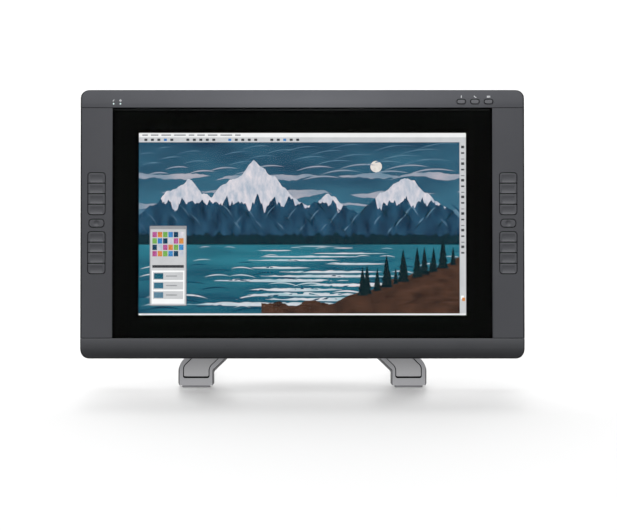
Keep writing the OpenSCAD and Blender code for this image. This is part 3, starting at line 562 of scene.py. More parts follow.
def add_piece(name: str, bm: bmesh.types.BMesh, finishes: Sequence[Finish], body: str, slot: str,
              stands_for: Sequence[str] = ()) -> bpy.types.Object:
    """Turns a bmesh in world metres into a piece that rides on a body.

    Args:
        name: Name of the piece.
        bm: Its shape, which is freed.
        finishes: Its materials, in the order of the faces' material numbers.
        body: The body that it moves with.
        slot: The record's material slot.
        stands_for: Nodes that the piece takes the place of.

    Returns:
        The new object.
    """
    for face in bm.faces:
        face.smooth = True
    mesh = bpy.data.meshes.new(name)
    bm.to_mesh(mesh)
    bm.free()
    if "custom_normal" in mesh.attributes:
        mesh.attributes.remove(mesh.attributes["custom_normal"])
    for finish in finishes:
        mesh.materials.append(finish.material())
    piece = bpy.data.objects.new(name, mesh)
    bpy.context.scene.collection.objects.link(piece)
    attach(piece, body)
    if stands_for:
        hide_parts(*stands_for)
    LOG.info("piece %s on %s: %d faces", name, body, len(mesh.polygons))
    return piece


def even_shading(piece: bpy.types.Object) -> None:
    """Weights a piece's normals by face area, so that flats stay flat beside their rounded edges.

    Args:
        piece: The piece.
    """
    weighted = piece.modifiers.new("even_shading", "WEIGHTED_NORMAL")
    weighted.mode = "FACE_AREA"
    weighted.weight = 80


def thicken(piece: bpy.types.Object, depth_mm: float) -> None:
    """Gives a flat print or layer its thickness, inwards from its face.

    Args:
        piece: The print or layer.
        depth_mm: How thick it is.
    """
    solid = piece.modifiers.new("thickness", "SOLIDIFY")
    solid.thickness = depth_mm * MM
    solid.offset = -1.0


def merged_copy(node: str) -> bmesh.types.BMesh:
    """Copies a node's mesh with its triangles welded and its flat faces joined.

    Args:
        node: Name of a node of the frame.

    Returns:
        The copy, in world metres.
    """
    bm = bmesh.new()
    bm.from_mesh(frame["nodes"][node].data)
    bmesh.ops.remove_doubles(bm, verts=bm.verts, dist=WELD_MM * MM)
    bmesh.ops.dissolve_limit(bm, angle_limit=math.radians(FLAT_DEG), verts=bm.verts, edges=bm.edges,
                             use_dissolve_boundaries=False, delimit=set())
    return bm


def sharp_edges(bm: bmesh.types.BMesh) -> list[bmesh.types.BMEdge]:
    """Returns the edges where two faces meet at more than a slight angle."""
    return [e for e in bm.edges if e.is_manifold and e.calc_face_angle() > math.radians(SHARP_DEG)]


def round_edges(bm: bmesh.types.BMesh, edges: Sequence[bmesh.types.BMEdge], width_mm: float,
                segments: int) -> list[bmesh.types.BMFace]:
    """Rounds edges of a shape in world metres.

    Args:
        bm: The shape.
        edges: The edges to round.
        width_mm: How far the rounding reaches from each edge.
        segments: Steps in the rounding.

    Returns:
        The faces of the rounding.
    """
    made = bmesh.ops.bevel(bm, geom=edges, offset=width_mm * MM, offset_type="OFFSET", affect="EDGES",
                           segments=segments, profile=0.5, material=-1, clamp_overlap=False)
    return made["faces"]


@dataclass(frozen=True)
class Softened:
    """A node that keeps its shape, with the small rounding its edges get from the mould or the file."""

    node: str
    edge_mm: float
    segments: int = 3

    def finishes(self) -> list[Finish]:
        """Returns the piece's finishes, in the order of the faces' material numbers."""
        return [finish_of(self.node)]

    def shape(self) -> bmesh.types.BMesh:
        """Rounds the sharp edges of a copy of the node.

        Returns:
            The shape in world metres.
        """
        bm = merged_copy(self.node)
        round_edges(bm, sharp_edges(bm), self.edge_mm, self.segments)
        return bm

    def build(self) -> None:
        """Puts the softened copy in the node's place."""
        even_shading(add_piece(f"{self.node}_soft", self.shape(), self.finishes(), BODY_OF[self.node],
                               SLOT_OF[self.node], [self.node]))


@dataclass(frozen=True)
class FrontShell(Softened):
    """A front piece of the case, with a wide rounded rim along the case's outline, painted dark as shade
    where the rounding turns away from the light.
    """

    rim_mm: float = 2.0
    rim_segments: int = 5
    rim_reach_mm: float = 5.0
    wall_lean: float = 0.2
    front_lean: float = 0.3

    def finishes(self) -> list[Finish]:
        """Returns the shell's own finish and the painted shade of its rim."""
        return [finish_of(self.node), SHADED_RIM_ABS]

    def on_outline(self, edge: bmesh.types.BMEdge) -> bool:
        """Tells whether an edge lies between the front and the case's outer wall.

        Args:
            edge: An edge of the shell, in world metres.

        Returns:
            Whether the rim runs along it.
        """
        back = TABLET.to_world.inverted()
        half = (CASE_HIGH - CASE_LOW) / 2
        spot = back @ ((edge.verts[0].co + edge.verts[1].co) / 2) - CASE_LOW - half
        normals = [(back.to_3x3() @ face.normal).normalized() for face in edge.link_faces]
        wall, front = sorted(normals, key=lambda normal: normal.z)
        outward = wall.x * spot.x / half.x + wall.y * spot.y / half.y
        near = min(half.x - abs(spot.x), half.y - abs(spot.y)) < self.rim_reach_mm
        return near and abs(wall.z) < self.wall_lean and front.z > self.front_lean and outward > 0.0

    def shape(self) -> bmesh.types.BMesh:
        """Gives a copy of the node its wide rim in painted shade and rounds its other sharp edges.

        Returns:
            The shape in world metres.
        """
        bm = merged_copy(self.node)
        rim = [e for e in sharp_edges(bm) if self.on_outline(e)]
        # The rim's rounding takes the painted shade.
        for face in round_edges(bm, rim, self.rim_mm, self.rim_segments):
            face.material_index = 1
        round_edges(bm, sharp_edges(bm), self.edge_mm, self.segments)
        return bm


class LegFace(IntEnum):
    """The surfaces of a front leg, as material numbers: the paint, and the groove and sides in painted shade.
    """

    PAINT = 0
    GROOVE = 1
    SIDE = 2


@dataclass(frozen=True)
class FrontLeg(Softened):
    """A front leg: a casting with painted shade in the groove around its inlay, and drafted sides in painted
    shade.

    The draft is full where a side is upright, and less where it slopes.
    """

    side: Side = Side.LEFT
    broad_mm2: float = 300.0
    front_lean: float = 0.5
    side_lean: float = 0.4
    inner_draft_mm: float = 2.5
    outer_draft_mm: float = 1.6
    groove_reach_mm: float = 2.6
    groove_edge_mm: float = 0.25
    groove_segments: int = 2

    def finishes(self) -> list[Finish]:
        """Returns the leg's paint, and the painted shade of the groove and of the sides."""
        return [finish_of(self.node), GROOVE_SHADE, LEG_SIDE_SHADE]

    def depths(self, bm: bmesh.types.BMesh) -> dict[bmesh.types.BMVert, float]:
        """Measures how far behind the leg's front face each vertex lies.

        Args:
            bm: The leg in world metres.

        Returns:
            The depth of every vertex in millimetres.
        """
        broad = [f for f in bm.faces
                 if f.normal.y < -self.front_lean and f.calc_area() > self.broad_mm2 * MM * MM]
        front = max(broad, key=lambda f: f.verts[0].co.dot(f.normal))
        plane, out = front.verts[0].co.copy(), front.normal.copy()
        return {v: (plane - v.co).dot(out) / MM for v in bm.verts}

    def mark_groove(self, bm: bmesh.types.BMesh, depth: Mapping[bmesh.types.BMVert, float]) -> None:
        """Marks the walls and floor of the groove, which take the painted shade.

        Args:
            bm: The leg in world metres.
            depth: How far behind the front face each vertex lies.
        """
        for face in bm.faces:
            reach = [depth[v] for v in face.verts]
            if min(reach) > -self.groove_edge_mm and self.groove_edge_mm < max(reach) < self.groove_reach_mm:
                face.material_index = LegFace.GROOVE

    def draft_side(self, bm: bmesh.types.BMesh, depth: Mapping[bmesh.types.BMVert, float], turn: int,
                   draft_mm: float) -> None:
        """Marks the walls of one side for painted shade and draws their front edges in.

        Args:
            bm: The leg in world metres.
            depth: How far behind the front face each vertex lies.
            turn: The way that the side faces, as a sign along x.
            draft_mm: How far the front edge of an upright wall is drawn in.
        """
        walls = [f for f in bm.faces
                 if f.material_index == LegFace.PAINT and f.normal.x * turn > self.side_lean]
        drafted = {v for f in walls for v in f.verts if abs(depth[v]) < self.groove_edge_mm}
        for face in walls:
            if drafted.intersection(face.verts):
                face.material_index = LegFace.SIDE
        upright = {v: max(f.normal.x * turn for f in v.link_faces if f.material_index == LegFace.SIDE)
                   for v in drafted}
        for vert, share in upright.items():
            vert.co.x -= turn * draft_mm * MM * (2.0 * share - 1.0)

    def shape(self) -> bmesh.types.BMesh:
        """Marks the groove and the sides of a copy of the leg and rounds its edges.

        Returns:
            The shape in world metres.
        """
        bm = merged_copy(self.node)
        depth = self.depths(bm)
        self.mark_groove(bm, depth)
        self.draft_side(bm, depth, -self.side.value, self.inner_draft_mm)
        self.draft_side(bm, depth, self.side.value, self.outer_draft_mm)
        groove = [e for e in sharp_edges(bm) if any(f.material_index == LegFace.GROOVE for f in e.link_faces)]
        round_edges(bm, groove, self.groove_edge_mm, self.groove_segments)
        outer = [e for e in sharp_edges(bm) if all(f.material_index != LegFace.GROOVE for f in e.link_faces)]
        round_edges(bm, outer, self.edge_mm, self.segments)
        return bm


def place_on_tablet(bm: bmesh.types.BMesh) -> None:
    """Moves a shape from the tablet's millimetres to world metres."""
    bmesh.ops.transform(bm, matrix=TABLET.to_world, verts=bm.verts)


@dataclass(frozen=True)
class CapForm:
    """The top of a key or button: its outline, rolled edge and the surface that it follows."""

    width: float
    height: float
    upper_r: float
    lower_r: float
    surface: Callable[[float, float], float]
    roll: float = 0.7
    columns: int = 30
    rows: int = 26

    def point(self, across: float, up: float) -> Vector:
        """Maps the unit square to the cap, closer towards its edges.

        Args:
            across: Place from -1 at the left to 1 at the right.
            up: Place from -1 at the bottom to 1 at the top.

        Returns:
            The point from the middle of the cap, in millimetres.
        """
        half_w, half_h = self.width / 2, self.height / 2
        x = half_w * math.sin(across * math.pi / 2)
        y = half_h * math.sin(up * math.pi / 2)
        edge = min(half_w - abs(x), half_h - abs(y))
        radius = self.upper_r if y > 0 else self.lower_r
        over_x, over_y = abs(x) - half_w + radius, abs(y) - half_h + radius
        if radius > 0 and over_x > 0 and over_y > 0:
            u, v = over_x / radius, over_y / radius
            over_x, over_y = over_x * math.sqrt(1 - v * v / 2), over_y * math.sqrt(1 - u * u / 2)
            x = math.copysign(half_w - radius + over_x, x)
            y = math.copysign(half_h - radius + over_y, y)
            edge = radius - math.hypot(over_x, over_y)
        inside = max(self.roll - edge, 0.0)
        drop = self.roll - math.sqrt(max(self.roll ** 2 - inside ** 2, 0.0))
        return Vector((x, y, self.surface(x, y) - drop))

    def build(self, node: str, skirt_z: float, flange_t: float) -> None:
        """Puts the cap in a node's place, with its skirt and the flange that holds it under the panel.

        Args:
            node: The key or button that the cap is for.
            skirt_z: Level where the skirt meets the flange.
            flange_t: Thickness of the flange.
        """
        low, high = TABLET.box(node)
        centre = (low + high) / 2
        flange_w = high.x - low.x
        bm = bmesh.new()
        bmesh.ops.create_grid(bm, x_segments=self.columns, y_segments=self.rows, size=1.0)
        for vert in bm.verts:
            vert.co = self.point(vert.co.x, vert.co.y)
        rim = [e for e in bm.edges if e.is_boundary]
        steps = ((1.0, skirt_z), (flange_w / self.width, skirt_z), (1.0, skirt_z - flange_t))
        for widen, level in steps:
            made = bmesh.ops.extrude_edge_only(bm, edges=rim)["geom"]
            for vert in (g for g in made if isinstance(g, bmesh.types.BMVert)):
                vert.co = Vector((vert.co.x * widen, vert.co.y, level))
            rim = [g for g in made if isinstance(g, bmesh.types.BMEdge)]
        bmesh.ops.edgeloop_fill(bm, edges=rim)
        bmesh.ops.recalc_face_normals(bm, faces=bm.faces)
        bmesh.ops.translate(bm, vec=Vector((centre.x, centre.y, 0.0)), verts=bm.verts)
        place_on_tablet(bm)
        add_piece(f"{node}_cap", bm, [KEY_ABS], BODY_OF[node], SLOT_OF[node], [node])


@dataclass(frozen=True)
class KeyColumns:
    """The two columns of keys beside the glass, each of two groups of four with a single button between."""

    flange_lip: float = 2.0
    flange_t: float = 1.2
    skirt: float = 3.3
    group_r: float = 4.0
    dish_r: float = 16.0
    dish_depth: float = 1.1
    dish_drop: float = 1.2
    dish_border: float = 2.6
    shoulder: float = 1.4
    menu_r: float = 4.6
    dimple_r: float = 4.4
    dimple_depth: float = 1.6
    per_column: int = 8
    per_group: int = 4

    def dish(self, width: float, top: float) -> Callable[[float, float], float]:
        """Works out the surface of a key, with a dish that is deepest below its middle.

        Args:
            width: Width of the key.
            top: Level of the key's top around the dish.

        Returns:
            The level at a point from the key's middle.
        """
        half_chord = math.sqrt(2 * self.dish_r * self.dish_depth - self.dish_depth ** 2)

        def level(x: float, y: float) -> float:
            """Returns the level of the key's top at a point from its middle."""
            side = smooth_step((width / 2 - self.dish_border + self.shoulder / 2 - abs(x)) / self.shoulder)
            reach = (y + self.dish_drop) / half_chord
            return top - self.dish_depth * max(0.0, 1.0 - reach * reach) * side

        return level

    def dimple(self, top: float) -> Callable[[float, float], float]:
        """Works out the surface of the single button, with a round dimple for the fingertip.

        Args:
            top: Level of the button's top around the dimple.

        Returns:
            The level at a point from the button's middle.
        """
        ball_r = (self.dimple_r ** 2 + self.dimple_depth ** 2) / (2 * self.dimple_depth)
        lift = ball_r - self.dimple_depth

        def level(x: float, y: float) -> float:
            """Returns the level of the button's top at a point from its middle."""
            out = min(math.hypot(x, y), self.dimple_r)
            return top + lift - math.sqrt(ball_r ** 2 - out ** 2)

        return level

    def build_key(self, side: Side, number: int) -> None:
        """Builds one key of a column.

        Args:
            side: The column.
            number: The key, counted from the top.
        """
        node = f"{side.name.lower()}_key_{number}"
        low, high = TABLET.box(node)
        width = high.x - low.x - 2 * self.flange_lip
        place = (number - 1) % self.per_group
        form = CapForm(width, high.y - low.y, self.group_r if place == 0 else 0.0,
                       self.group_r if place == self.per_group - 1 else 0.0, self.dish(width, high.z))
        form.build(node, high.z - self.skirt, self.flange_t)

    def build_menu(self, side: Side) -> None:
        """Builds the single button between the groups.

        Args:
            side: The column that it is in.
        """
        node = f"{side.name.lower()}_menu_button"
        low, high = TABLET.box(node)
        form = CapForm(high.x - low.x - 2 * self.flange_lip, high.y - low.y, self.menu_r, self.menu_r,
                       self.dimple(high.z), columns=48, rows=34)
        form.build(node, high.z - self.skirt, self.flange_t)

    def build(self) -> None:
        """Builds both columns."""
        for side in Side:
            for number in range(1, self.per_column + 1):
                self.build_key(side, number)
            self.build_menu(side)


@dataclass(frozen=True)
class PrintedBar:
    """A straight stroke of a printed sign: its middle from the sign's middle, its size and its turn."""

    x: float
    y: float
    width: float
    height: float
    turn_deg: float = 0.0
    steps: int = 4

    def add_to(self, bm: bmesh.types.BMesh, x: float, y: float) -> None:
        """Adds the stroke to a mesh.

        Args:
            bm: The mesh.
            x: The sign's middle across the tablet.
            y: The sign's middle up the tablet.
        """
        place = Matrix.Translation((x + self.x, y + self.y, 0.0))
        turn = Matrix.Rotation(math.radians(self.turn_deg), 4, "Z")
        bmesh.ops.create_grid(bm, x_segments=self.steps, y_segments=self.steps, size=0.5,
                              matrix=place @ turn @ Matrix.Diagonal((self.width, self.height, 1.0, 1.0)))


@dataclass(frozen=True)
class PrintedRing:
    """A ring of a printed sign above its middle, or a dot where the inner radius is zero."""

    y: float
    outer_r: float
    inner_r: float = 0.0
    dot_sides: int = 16
    ring_sides: int = 24

    def add_to(self, bm: bmesh.types.BMesh, x: float, y: float) -> None:
        """Adds the ring to a mesh.

        Args:
            bm: The mesh.
            x: The sign's middle across the tablet.
            y: The sign's middle up the tablet.
        """
        place = Matrix.Translation((x, y + self.y, 0.0))
        if self.inner_r == 0:
            bmesh.ops.create_circle(bm, cap_ends=True, segments=self.dot_sides, radius=self.outer_r,
                                    matrix=place)
            return
        made = bmesh.ops.create_circle(bm, cap_ends=False, segments=self.ring_sides, radius=self.outer_r,
                                       matrix=place)
        edges = list({e for v in made["verts"] for e in v.link_edges})
        inner = bmesh.ops.extrude_edge_only(bm, edges=edges)["geom"]
        share = self.inner_r / self.outer_r
        bmesh.ops.scale(bm, vec=Vector((share, share, 1.0)), space=place.inverted(),
                        verts=[g for g in inner if isinstance(g, bmesh.types.BMVert)])


class Sign(Enum):
    """The printed signs: over the three buttons from the left, then over the two lights."""

    NOTE = (PrintedRing(1.5, 0.55), PrintedBar(0.0, -0.5, 0.9, 2.6))
    STROKE = (PrintedBar(-0.3, 0.0, 0.9, 3.6, 38.0), PrintedBar(1.3, -1.3, 1.8, 0.7))
    KEYBOARD = (*(PrintedBar(0.0, 1.1 * row, 4.6, 0.6) for row in (-1, 0, 1)),
                *(PrintedBar(2.1 * post, 0.0, 0.6, 2.4) for post in (-1, 1)))
    PEN = (PrintedBar(0.0, 0.0, 0.9, 3.2, -38.0),)
    RING = (PrintedRing(0.0, 1.5, 0.7),)


@dataclass(frozen=True)
class TopBar:
    """The curved bar over the glass, with its capsule buttons, printed signs and lights."""

    shell_edge: float = 0.45
    curve_r: float = 40.0
    button_proud: float = 0.5
    button_roll: float = 0.9
    flange_lip: float = 2.0
    flange_t: float = 1.2
    skirt: float = 3.4
    end_flat: float = 0.4
    print_lift: float = 0.05
    print_t: float = 0.06
    symbol_rise: float = 7.8
    light_symbol_rise: float = 4.9
    buttons: int = 3

    def level(self, y: float, proud: float = 0.0) -> float:
        """Returns the level of the bar's curved front at a height, or of a surface proud of it."""
        low, high = TABLET.box("top_bar")
        return high.z - self.curve_r + math.sqrt((self.curve_r + proud) ** 2 - (y - low.y) ** 2)

    def button_centre(self, number: int) -> Vector:
        """Returns the middle of a capsule button, counted from the left."""
        low, high = TABLET.box(f"top_button_{number}")
        return (low + high) / 2

    def build_button(self, number: int) -> None:
        """Builds one capsule button, which follows the bar's curve.

        Args:
            number: The button, counted from the left.
        """
        node = f"top_button_{number}"
        low, high = TABLET.box(node)
        middle_y = self.button_centre(number).y
        height = high.y - low.y
        corner = height / 2 - self.end_flat
        form = CapForm(high.x - low.x - 2 * self.flange_lip, height, corner, corner,
                       lambda x, y: self.level(middle_y + y, self.button_proud), roll=self.button_roll)
        form.build(node, self.level(high.y) - self.skirt, self.flange_t)

    def sign_places(self) -> Iterator[tuple[float, float]]:
        """Works out where the signs go.

        Yields:
            The middle of each sign, in the order of the signs.
        """
        centres = [self.button_centre(number) for number in range(1, self.buttons + 1)]
        for centre in centres:
            yield centre.x, centres[0].y + self.symbol_rise
        low, high = TABLET.box("light_pipes")
        light_r = (high.y - low.y) / 2
        for x in (low.x + light_r, high.x - light_r):
            yield x, (low.y + high.y) / 2 + self.light_symbol_rise

    def build_symbols(self) -> None:
        """Prints the small signs over the buttons and the lights."""
        bm = bmesh.new()
        for sign, (x, y) in zip(Sign, self.sign_places()):
            for mark in sign.value:
                mark.add_to(bm, x, y)
        for vert in bm.verts:
            vert.co.z = self.level(vert.co.y) + self.print_lift
        bmesh.ops.recalc_face_normals(bm, faces=bm.faces)
        turned = [f for f in bm.faces if f.normal.z < 0]
        bmesh.ops.reverse_faces(bm, faces=turned)
        place_on_tablet(bm)
        thicken(add_piece("top_bar_symbols", bm, [MARK_PRINT], "tablet", "white_plastic"), self.print_t)

    def build(self) -> None:
        """Builds the bar's shell, buttons and signs."""
        FrontShell("top_bar", self.shell_edge).build()
        for number in range(1, self.buttons + 1):
            self.build_button(number)
        self.build_symbols()


class Picture(Enum):
    """The tones of the picture, each with its finish."""

    SKY = LitTone("lit_sky", "#3f7890", "#142c48", 40.0, (0.35, 1.0), 12.0, 0.5, 2.6, (200.0, 318.0))
    CLOUD = LitTone("lit_cloud", "#5d8499", "#b9b3bd", 26.0, (0.4, 1.0), 8.0)
    FAR = LitTone("lit_far_range", "#335d7a", "#6c92a5", 16.0, (1.0, 0.5), 35.0)
    ROCK = LitTone("lit_rock_face", "#0f243a", "#2a5875", 11.0, (1.0, 0.4), 32.0)
    SNOW = LitTone("lit_snow", "#9fb0c2", "#ebe2e6", 9.0, (1.0, 0.45), 30.0)
    WOOD = LitTone("lit_forest", "#081722", "#12343e", 6.0, (1.0, 0.5), 0.0)
    LAKE = LitTone("lit_lake", "#0d3550", "#2f8294", 20.0, (0.12, 1.0), 0.0, 0.6, 2.4, (60.0, 175.0))
    DEEP = LitTone("lit_deep_water", "#0a2a44", "#15506a", 12.0, (0.2, 1.0), 0.0)
    GLINT = LitTone("lit_glint", "#8fbac4", "#efe4e8", 8.0, (0.2, 1.0), 0.0)
    SHORE = LitTone("lit_shore", "#241916", "#5a3e30", 8.0, (0.5, 1.0), 10.0)
    TREE = LitTone("lit_tree", "#06121a", "#10292c", 4.0, (1.0, 0.5), 0.0)
    MOON = LitTone("lit_moon", "#d8d2cc", "#efe9e2", 6.0)
    BAR = LitTone("lit_menu_bar", "#eceded", "#f6f6f6", 20.0)
    TRAY = LitTone("lit_tool_tray", "#c6c7c9", "#d2d3d5", 20.0)
    INK = LitTone("lit_icons", "#2e3034", "#4a4c50", 3.0)
    FRAME = LitTone("lit_panel_frame", "#8f9194", "#a2a4a7", 12.0)
    PAPER = LitTone("lit_panel_paper", "#f8f8f8", "#ffffff", 20.0)
    WARM = LitTone("lit_warm_chip", "#c8643a", "#e0a050", 6.0)
    LEAF = LitTone("lit_green_chip", "#5c9a4a", "#8fc060", 6.0)
    BLUE = LitTone("lit_blue_chip", "#2a62b0", "#4a9ad0", 6.0)
    ROSE = LitTone("lit_rose_chip", "#a83a6a", "#c070b0", 6.0)

    @property
    def number(self) -> int:
        """Returns the material number of the tone on the picture's mesh."""
        return list(Picture).index(self)


class Layer(IntEnum):
    """The layers of the picture, from the panel up."""

    SKY = 0
    HAZE = 1
    FAR = 2
    ROCK = 3
    SNOW = 4
    WOOD = 5
    LAKE = 6
    GLINT = 7
    SHORE = 8
    BOUGH = 9
    NEXT_BOUGH = 10
    TRAY = 11
    ICON = 12
    PANEL = 13
    FIELD = 14
    CHIP = 15
    ROW = 16
    THUMB = 17


@dataclass(frozen=True)
class Sheet:
    """The lit picture while it is drawn: flat shapes in layers on the display panel's front."""

    panel_border: float = 6.0
    layer_z: float = 0.04
    first_gap: float = 0.05
    least_edge: float = 0.001
    disc_sides: int = 32
    bm: bmesh.types.BMesh = field(default_factory=bmesh.new)

    @property
    def edges(self) -> Box:
        """Measures the lit picture on the display panel.

        Returns:
            Its edges.
        """
        low, high = TABLET.box("lcd_panel")
        border = self.panel_border
        return low.x + border, low.y + border, high.x - border, high.y - border

    def mark(self, verts: Sequence[bmesh.types.BMVert], tone: Picture) -> None:
        """Gives the faces at some vertices a tone."""
        for face in {f for v in verts for f in v.link_faces}:
            face.material_index = tone.number

    def block(self, box: Box, layer: Layer, tone: Picture) -> None:
        """Adds a rectangle.

        Args:
            box: Its edges.
            layer: Its layer above the panel.
            tone: Its tone.
        """
        left, low, right, high = box
        place = Matrix.Translation(((left + right) / 2, (low + high) / 2, layer * self.layer_z))
        made = bmesh.ops.create_grid(self.bm, x_segments=1, y_segments=1, size=0.5,
                                     matrix=place @ Matrix.Diagonal((right - left, high - low, 1.0, 1.0)))
        self.mark(made["verts"], tone)

    def disc(self, x: float, y: float, radius: float, layer: Layer, tone: Picture) -> None:
        """Adds a round spot.

        Args:
            x: Its middle across the screen.
            y: Its middle up the screen.
            radius: Its radius.
            layer: Its layer above the panel.
            tone: Its tone.
        """
        made = bmesh.ops.create_circle(self.bm, cap_ends=True, segments=self.disc_sides, radius=radius,
                                       matrix=Matrix.Translation((x, y, layer * self.layer_z)))
        self.mark(made["verts"], tone)

    def build(self) -> None:
        """Makes what was drawn into the picture on the panel's front."""
        base = TABLET.box("lcd_panel")[1].z + self.first_gap
        bmesh.ops.translate(self.bm, vec=Vector((0.0, 0.0, base)), verts=self.bm.verts)
        bmesh.ops.dissolve_degenerate(self.bm, dist=self.least_edge, edges=self.bm.edges)
        bmesh.ops.reverse_faces(self.bm, faces=[f for f in self.bm.faces if f.normal.z < 0])
        place_on_tablet(self.bm)
        piece = add_piece("lit_picture", self.bm, [tone.value for tone in Picture], "tablet", "display")
        thicken(piece, self.layer_z / 2)


@dataclass(frozen=True)
class RoughLine:
    """A rough line over the water: its rise, and the size, seed and depth of its bumps."""

    rise: float
    size: float
    seed: float
    depth: float
    finer: float = 2.0
    fall: float = 0.9
    octaves: int = 6

    def at(self, x: float) -> float:
        """Returns the line's height at x."""
        bumps = noise.fractal(Vector((x / self.size, self.seed, 0.0)), self.fall, self.finer, self.octaves)
        return self.rise + self.depth * bumps


@dataclass(frozen=True)
class Range:
    """A size that goes evenly from one value to another."""

    first: float
    last: float

    def at(self, share: float) -> float:
        """Returns the size at a share of the way."""
        return self.first + (self.last - self.first) * share


@dataclass(frozen=True)
class Sway:
    """A size that swings about a middle value along a row."""

    middle: float
    swing: float
    step: float
    start: float = 0.0

    def at(self, place: float) -> float:
        """Returns the size at a place in the row."""
        return self.middle + self.swing * math.sin(self.step * place + self.start)


def pick(options: Sequence[Option], share: float, turns: int) -> Option:
    """Returns one of some options, which take turns as the share goes from 0 to 1."""
    return options[int(share * turns) % len(options)]


@dataclass(frozen=True)
class Cloud:
    """A bank of cloud: its rise over the water, and the seed and depth of its rough edges."""

    rise: float
    seed: float
    depth: float
    thick: float = 4.0
    upper_size: float = 70.0
    lower_size: float = 50.0
    lower_seed: float = 3.0

    @property
    def lines(self) -> tuple[RoughLine, RoughLine]:
        """Returns the cloud's upper and lower line."""
        return (RoughLine(self.rise, self.upper_size, self.seed, self.depth),
                RoughLine(self.rise - self.thick, self.lower_size, self.seed + self.lower_seed, self.depth))


@dataclass(frozen=True)
class Peak:
    """A peak of the main range: its place across, its height over the water and the slope of its sides."""

    x: float
    height: float
    slope: float


@dataclass(frozen=True)
class Landscape:
    """The painting on the screen: a lake below mountains, in flat layers of tone and loose strokes."""

    sheet: Sheet
    box: Box
    water_share: float = 0.40
    moon_across: float = 0.74
    moon_drop: float = 36.0
    moon_r: float = 8.5
    clouds: tuple[Cloud, ...] = (Cloud(78.0, 1.7, 9.0), Cloud(60.0, 4.2, 8.0), Cloud(104.0, 8.8, 7.0))
    peaks: tuple[Peak, ...] = (Peak(-168.0, 96.0, 0.72), Peak(-72.0, 124.0, 0.86), Peak(38.0, 74.0, 0.62),
                               Peak(150.0, 102.0, 0.78))
    far_line: RoughLine = RoughLine(42.0, 60.0, 12.5, 22.0)
    crag_line: RoughLine = RoughLine(0.0, 26.0, 21.0, 9.0)
    snow_line: RoughLine = RoughLine(62.0, 12.0, 31.0, 20.0)
    wood_line: RoughLine = RoughLine(15.0, 9.0, 41.0, 7.0)
    shore_line: RoughLine = RoughLine(16.0, 30.0, 71.0, 8.0)
    shore_start: float = -60.0
    bank_start: float = 40.0
    bank_slope: float = 0.34
    lake_lap: float = 0.4
    streaks: int = 16
    streak_top: float = 2.0
    streak_margin: float = 8.0
    streak_crowding: float = 1.3
    streak_middle: Sway = Sway(20.0, 60.0, 2.4)
    streak_reach: Sway = Sway(34.0, 26.0, 5.1)
    streak_spread: float = 80.0
    streak_thick: Range = Range(0.5, 3.1)
    ripple_size: float = 18.0
    ripple_seed: float = 50.0
    ripple_share: float = 0.8
    trees: int = 17
    tree_place: Sway = Sway(88.0, 3.0, 3.7)
    tree_pitch: float = 8.2
    tree_height: Sway = Sway(34.0, 16.0, 1.9, 0.6)
    tree_foot: float = 10.0
    boughs: int = 4
    bough_step: float = 0.2
    bough_height: float = 0.4
    bough_half: float = 0.19
    bough_taper: float = 0.2
    spot_steps: tuple[float, float] = (0.7549, 0.5698)
    stroke_steps: int = 10
    stroke_bow: float = 0.08
    wave_strokes: int = 130
    wave_margin: float = 3.0
    wave_length: Range = Range(16.0, 68.0)
    wave_width: Range = Range(0.7, 2.9)
    wave_slant: Sway = Sway(0.0, 5.0, 37.0)
    wave_tones: tuple[Picture, ...] = (Picture.DEEP, Picture.LAKE, Picture.DEEP, Picture.GLINT)
    wave_turns: int = 97
    rock_strokes: int = 90
    rock_rise: Range = Range(20.0, 54.0)
    rock_length: Range = Range(12.0, 26.0)
    rock_width: Range = Range(0.8, 2.2)
    rock_slants: tuple[float, ...] = (-48.0, 52.0)
    slant_turns: int = 61
    rock_tones: tuple[Picture, ...] = (Picture.FAR, Picture.ROCK, Picture.WOOD)
    rock_turns: int = 89
    sky_strokes: int = 40
    sky_drop: Range = Range(4.0, 56.0)
    sky_length: Range = Range(30.0, 76.0)
    sky_width: Range = Range(0.8, 2.4)
    sky_slant: Range = Range(9.0, 3.0)
    haze_share: float = 0.6

    @property
    def water(self) -> float:
        """Returns the height of the lake's far shore."""
        return self.box[1] + self.water_share * (self.box[3] - self.box[1])

    def band(self, upper: Callable[[float], float], lower: Callable[[float], float], layer: Layer,
             tone: Picture, span: Optional[tuple[float, float]] = None, columns: int = 160) -> None:
        """Adds a strip of the painting between two lines.

        Args:
            upper: Height of the upper line at each x.
            lower: Height of the lower line at each x.
            layer: Layer above the panel.
            tone: Its tone.
            span: Left and right end, or the whole painting.
            columns: How many columns it has.
        """
        left, low, right, high = self.box
        start, end = span or (left, right)
        made = bmesh.ops.create_grid(self.sheet.bm, x_segments=columns, y_segments=1, size=1.0)
        for vert in made["verts"]:
            x = start + (end - start) * (vert.co.x + 1) / 2
            y = upper(x) if vert.co.y > 0 else min(lower(x), upper(x))
            vert.co = Vector((x, min(max(y, low), high), layer * self.sheet.layer_z))
        self.sheet.mark(made["verts"], tone)

    def stroke(self, x: float, y: float, length: float, width: float, slant_deg: float, layer: Layer,
               tone: Picture) -> None:
        """Adds one brush stroke: a bowed sliver with pointed ends, kept inside the painting.

        Args:
            x: Its middle across the screen.
            y: Its middle up the screen.
            length: How long it is.
            width: How wide it is in the middle.
            slant_deg: How far it is turned from level.
            layer: Layer above the panel.
            tone: Its tone.
        """
        left, low, right, high = self.box
        turn = Matrix.Rotation(math.radians(slant_deg), 3, "Z")
        made = bmesh.ops.create_grid(self.sheet.bm, x_segments=self.stroke_steps, y_segments=1, size=1.0)
        for vert in made["verts"]:
            full = 1.0 - vert.co.x ** 2
            rise = full * (self.stroke_bow * length + vert.co.y * width / 2)
            spot = turn @ Vector((vert.co.x * length / 2, rise, 0.0))
            vert.co = Vector((min(max(x + spot.x, left), right), min(max(y + spot.y, low), high),
                              layer * self.sheet.layer_z))
        self.sheet.mark(made["verts"], tone)

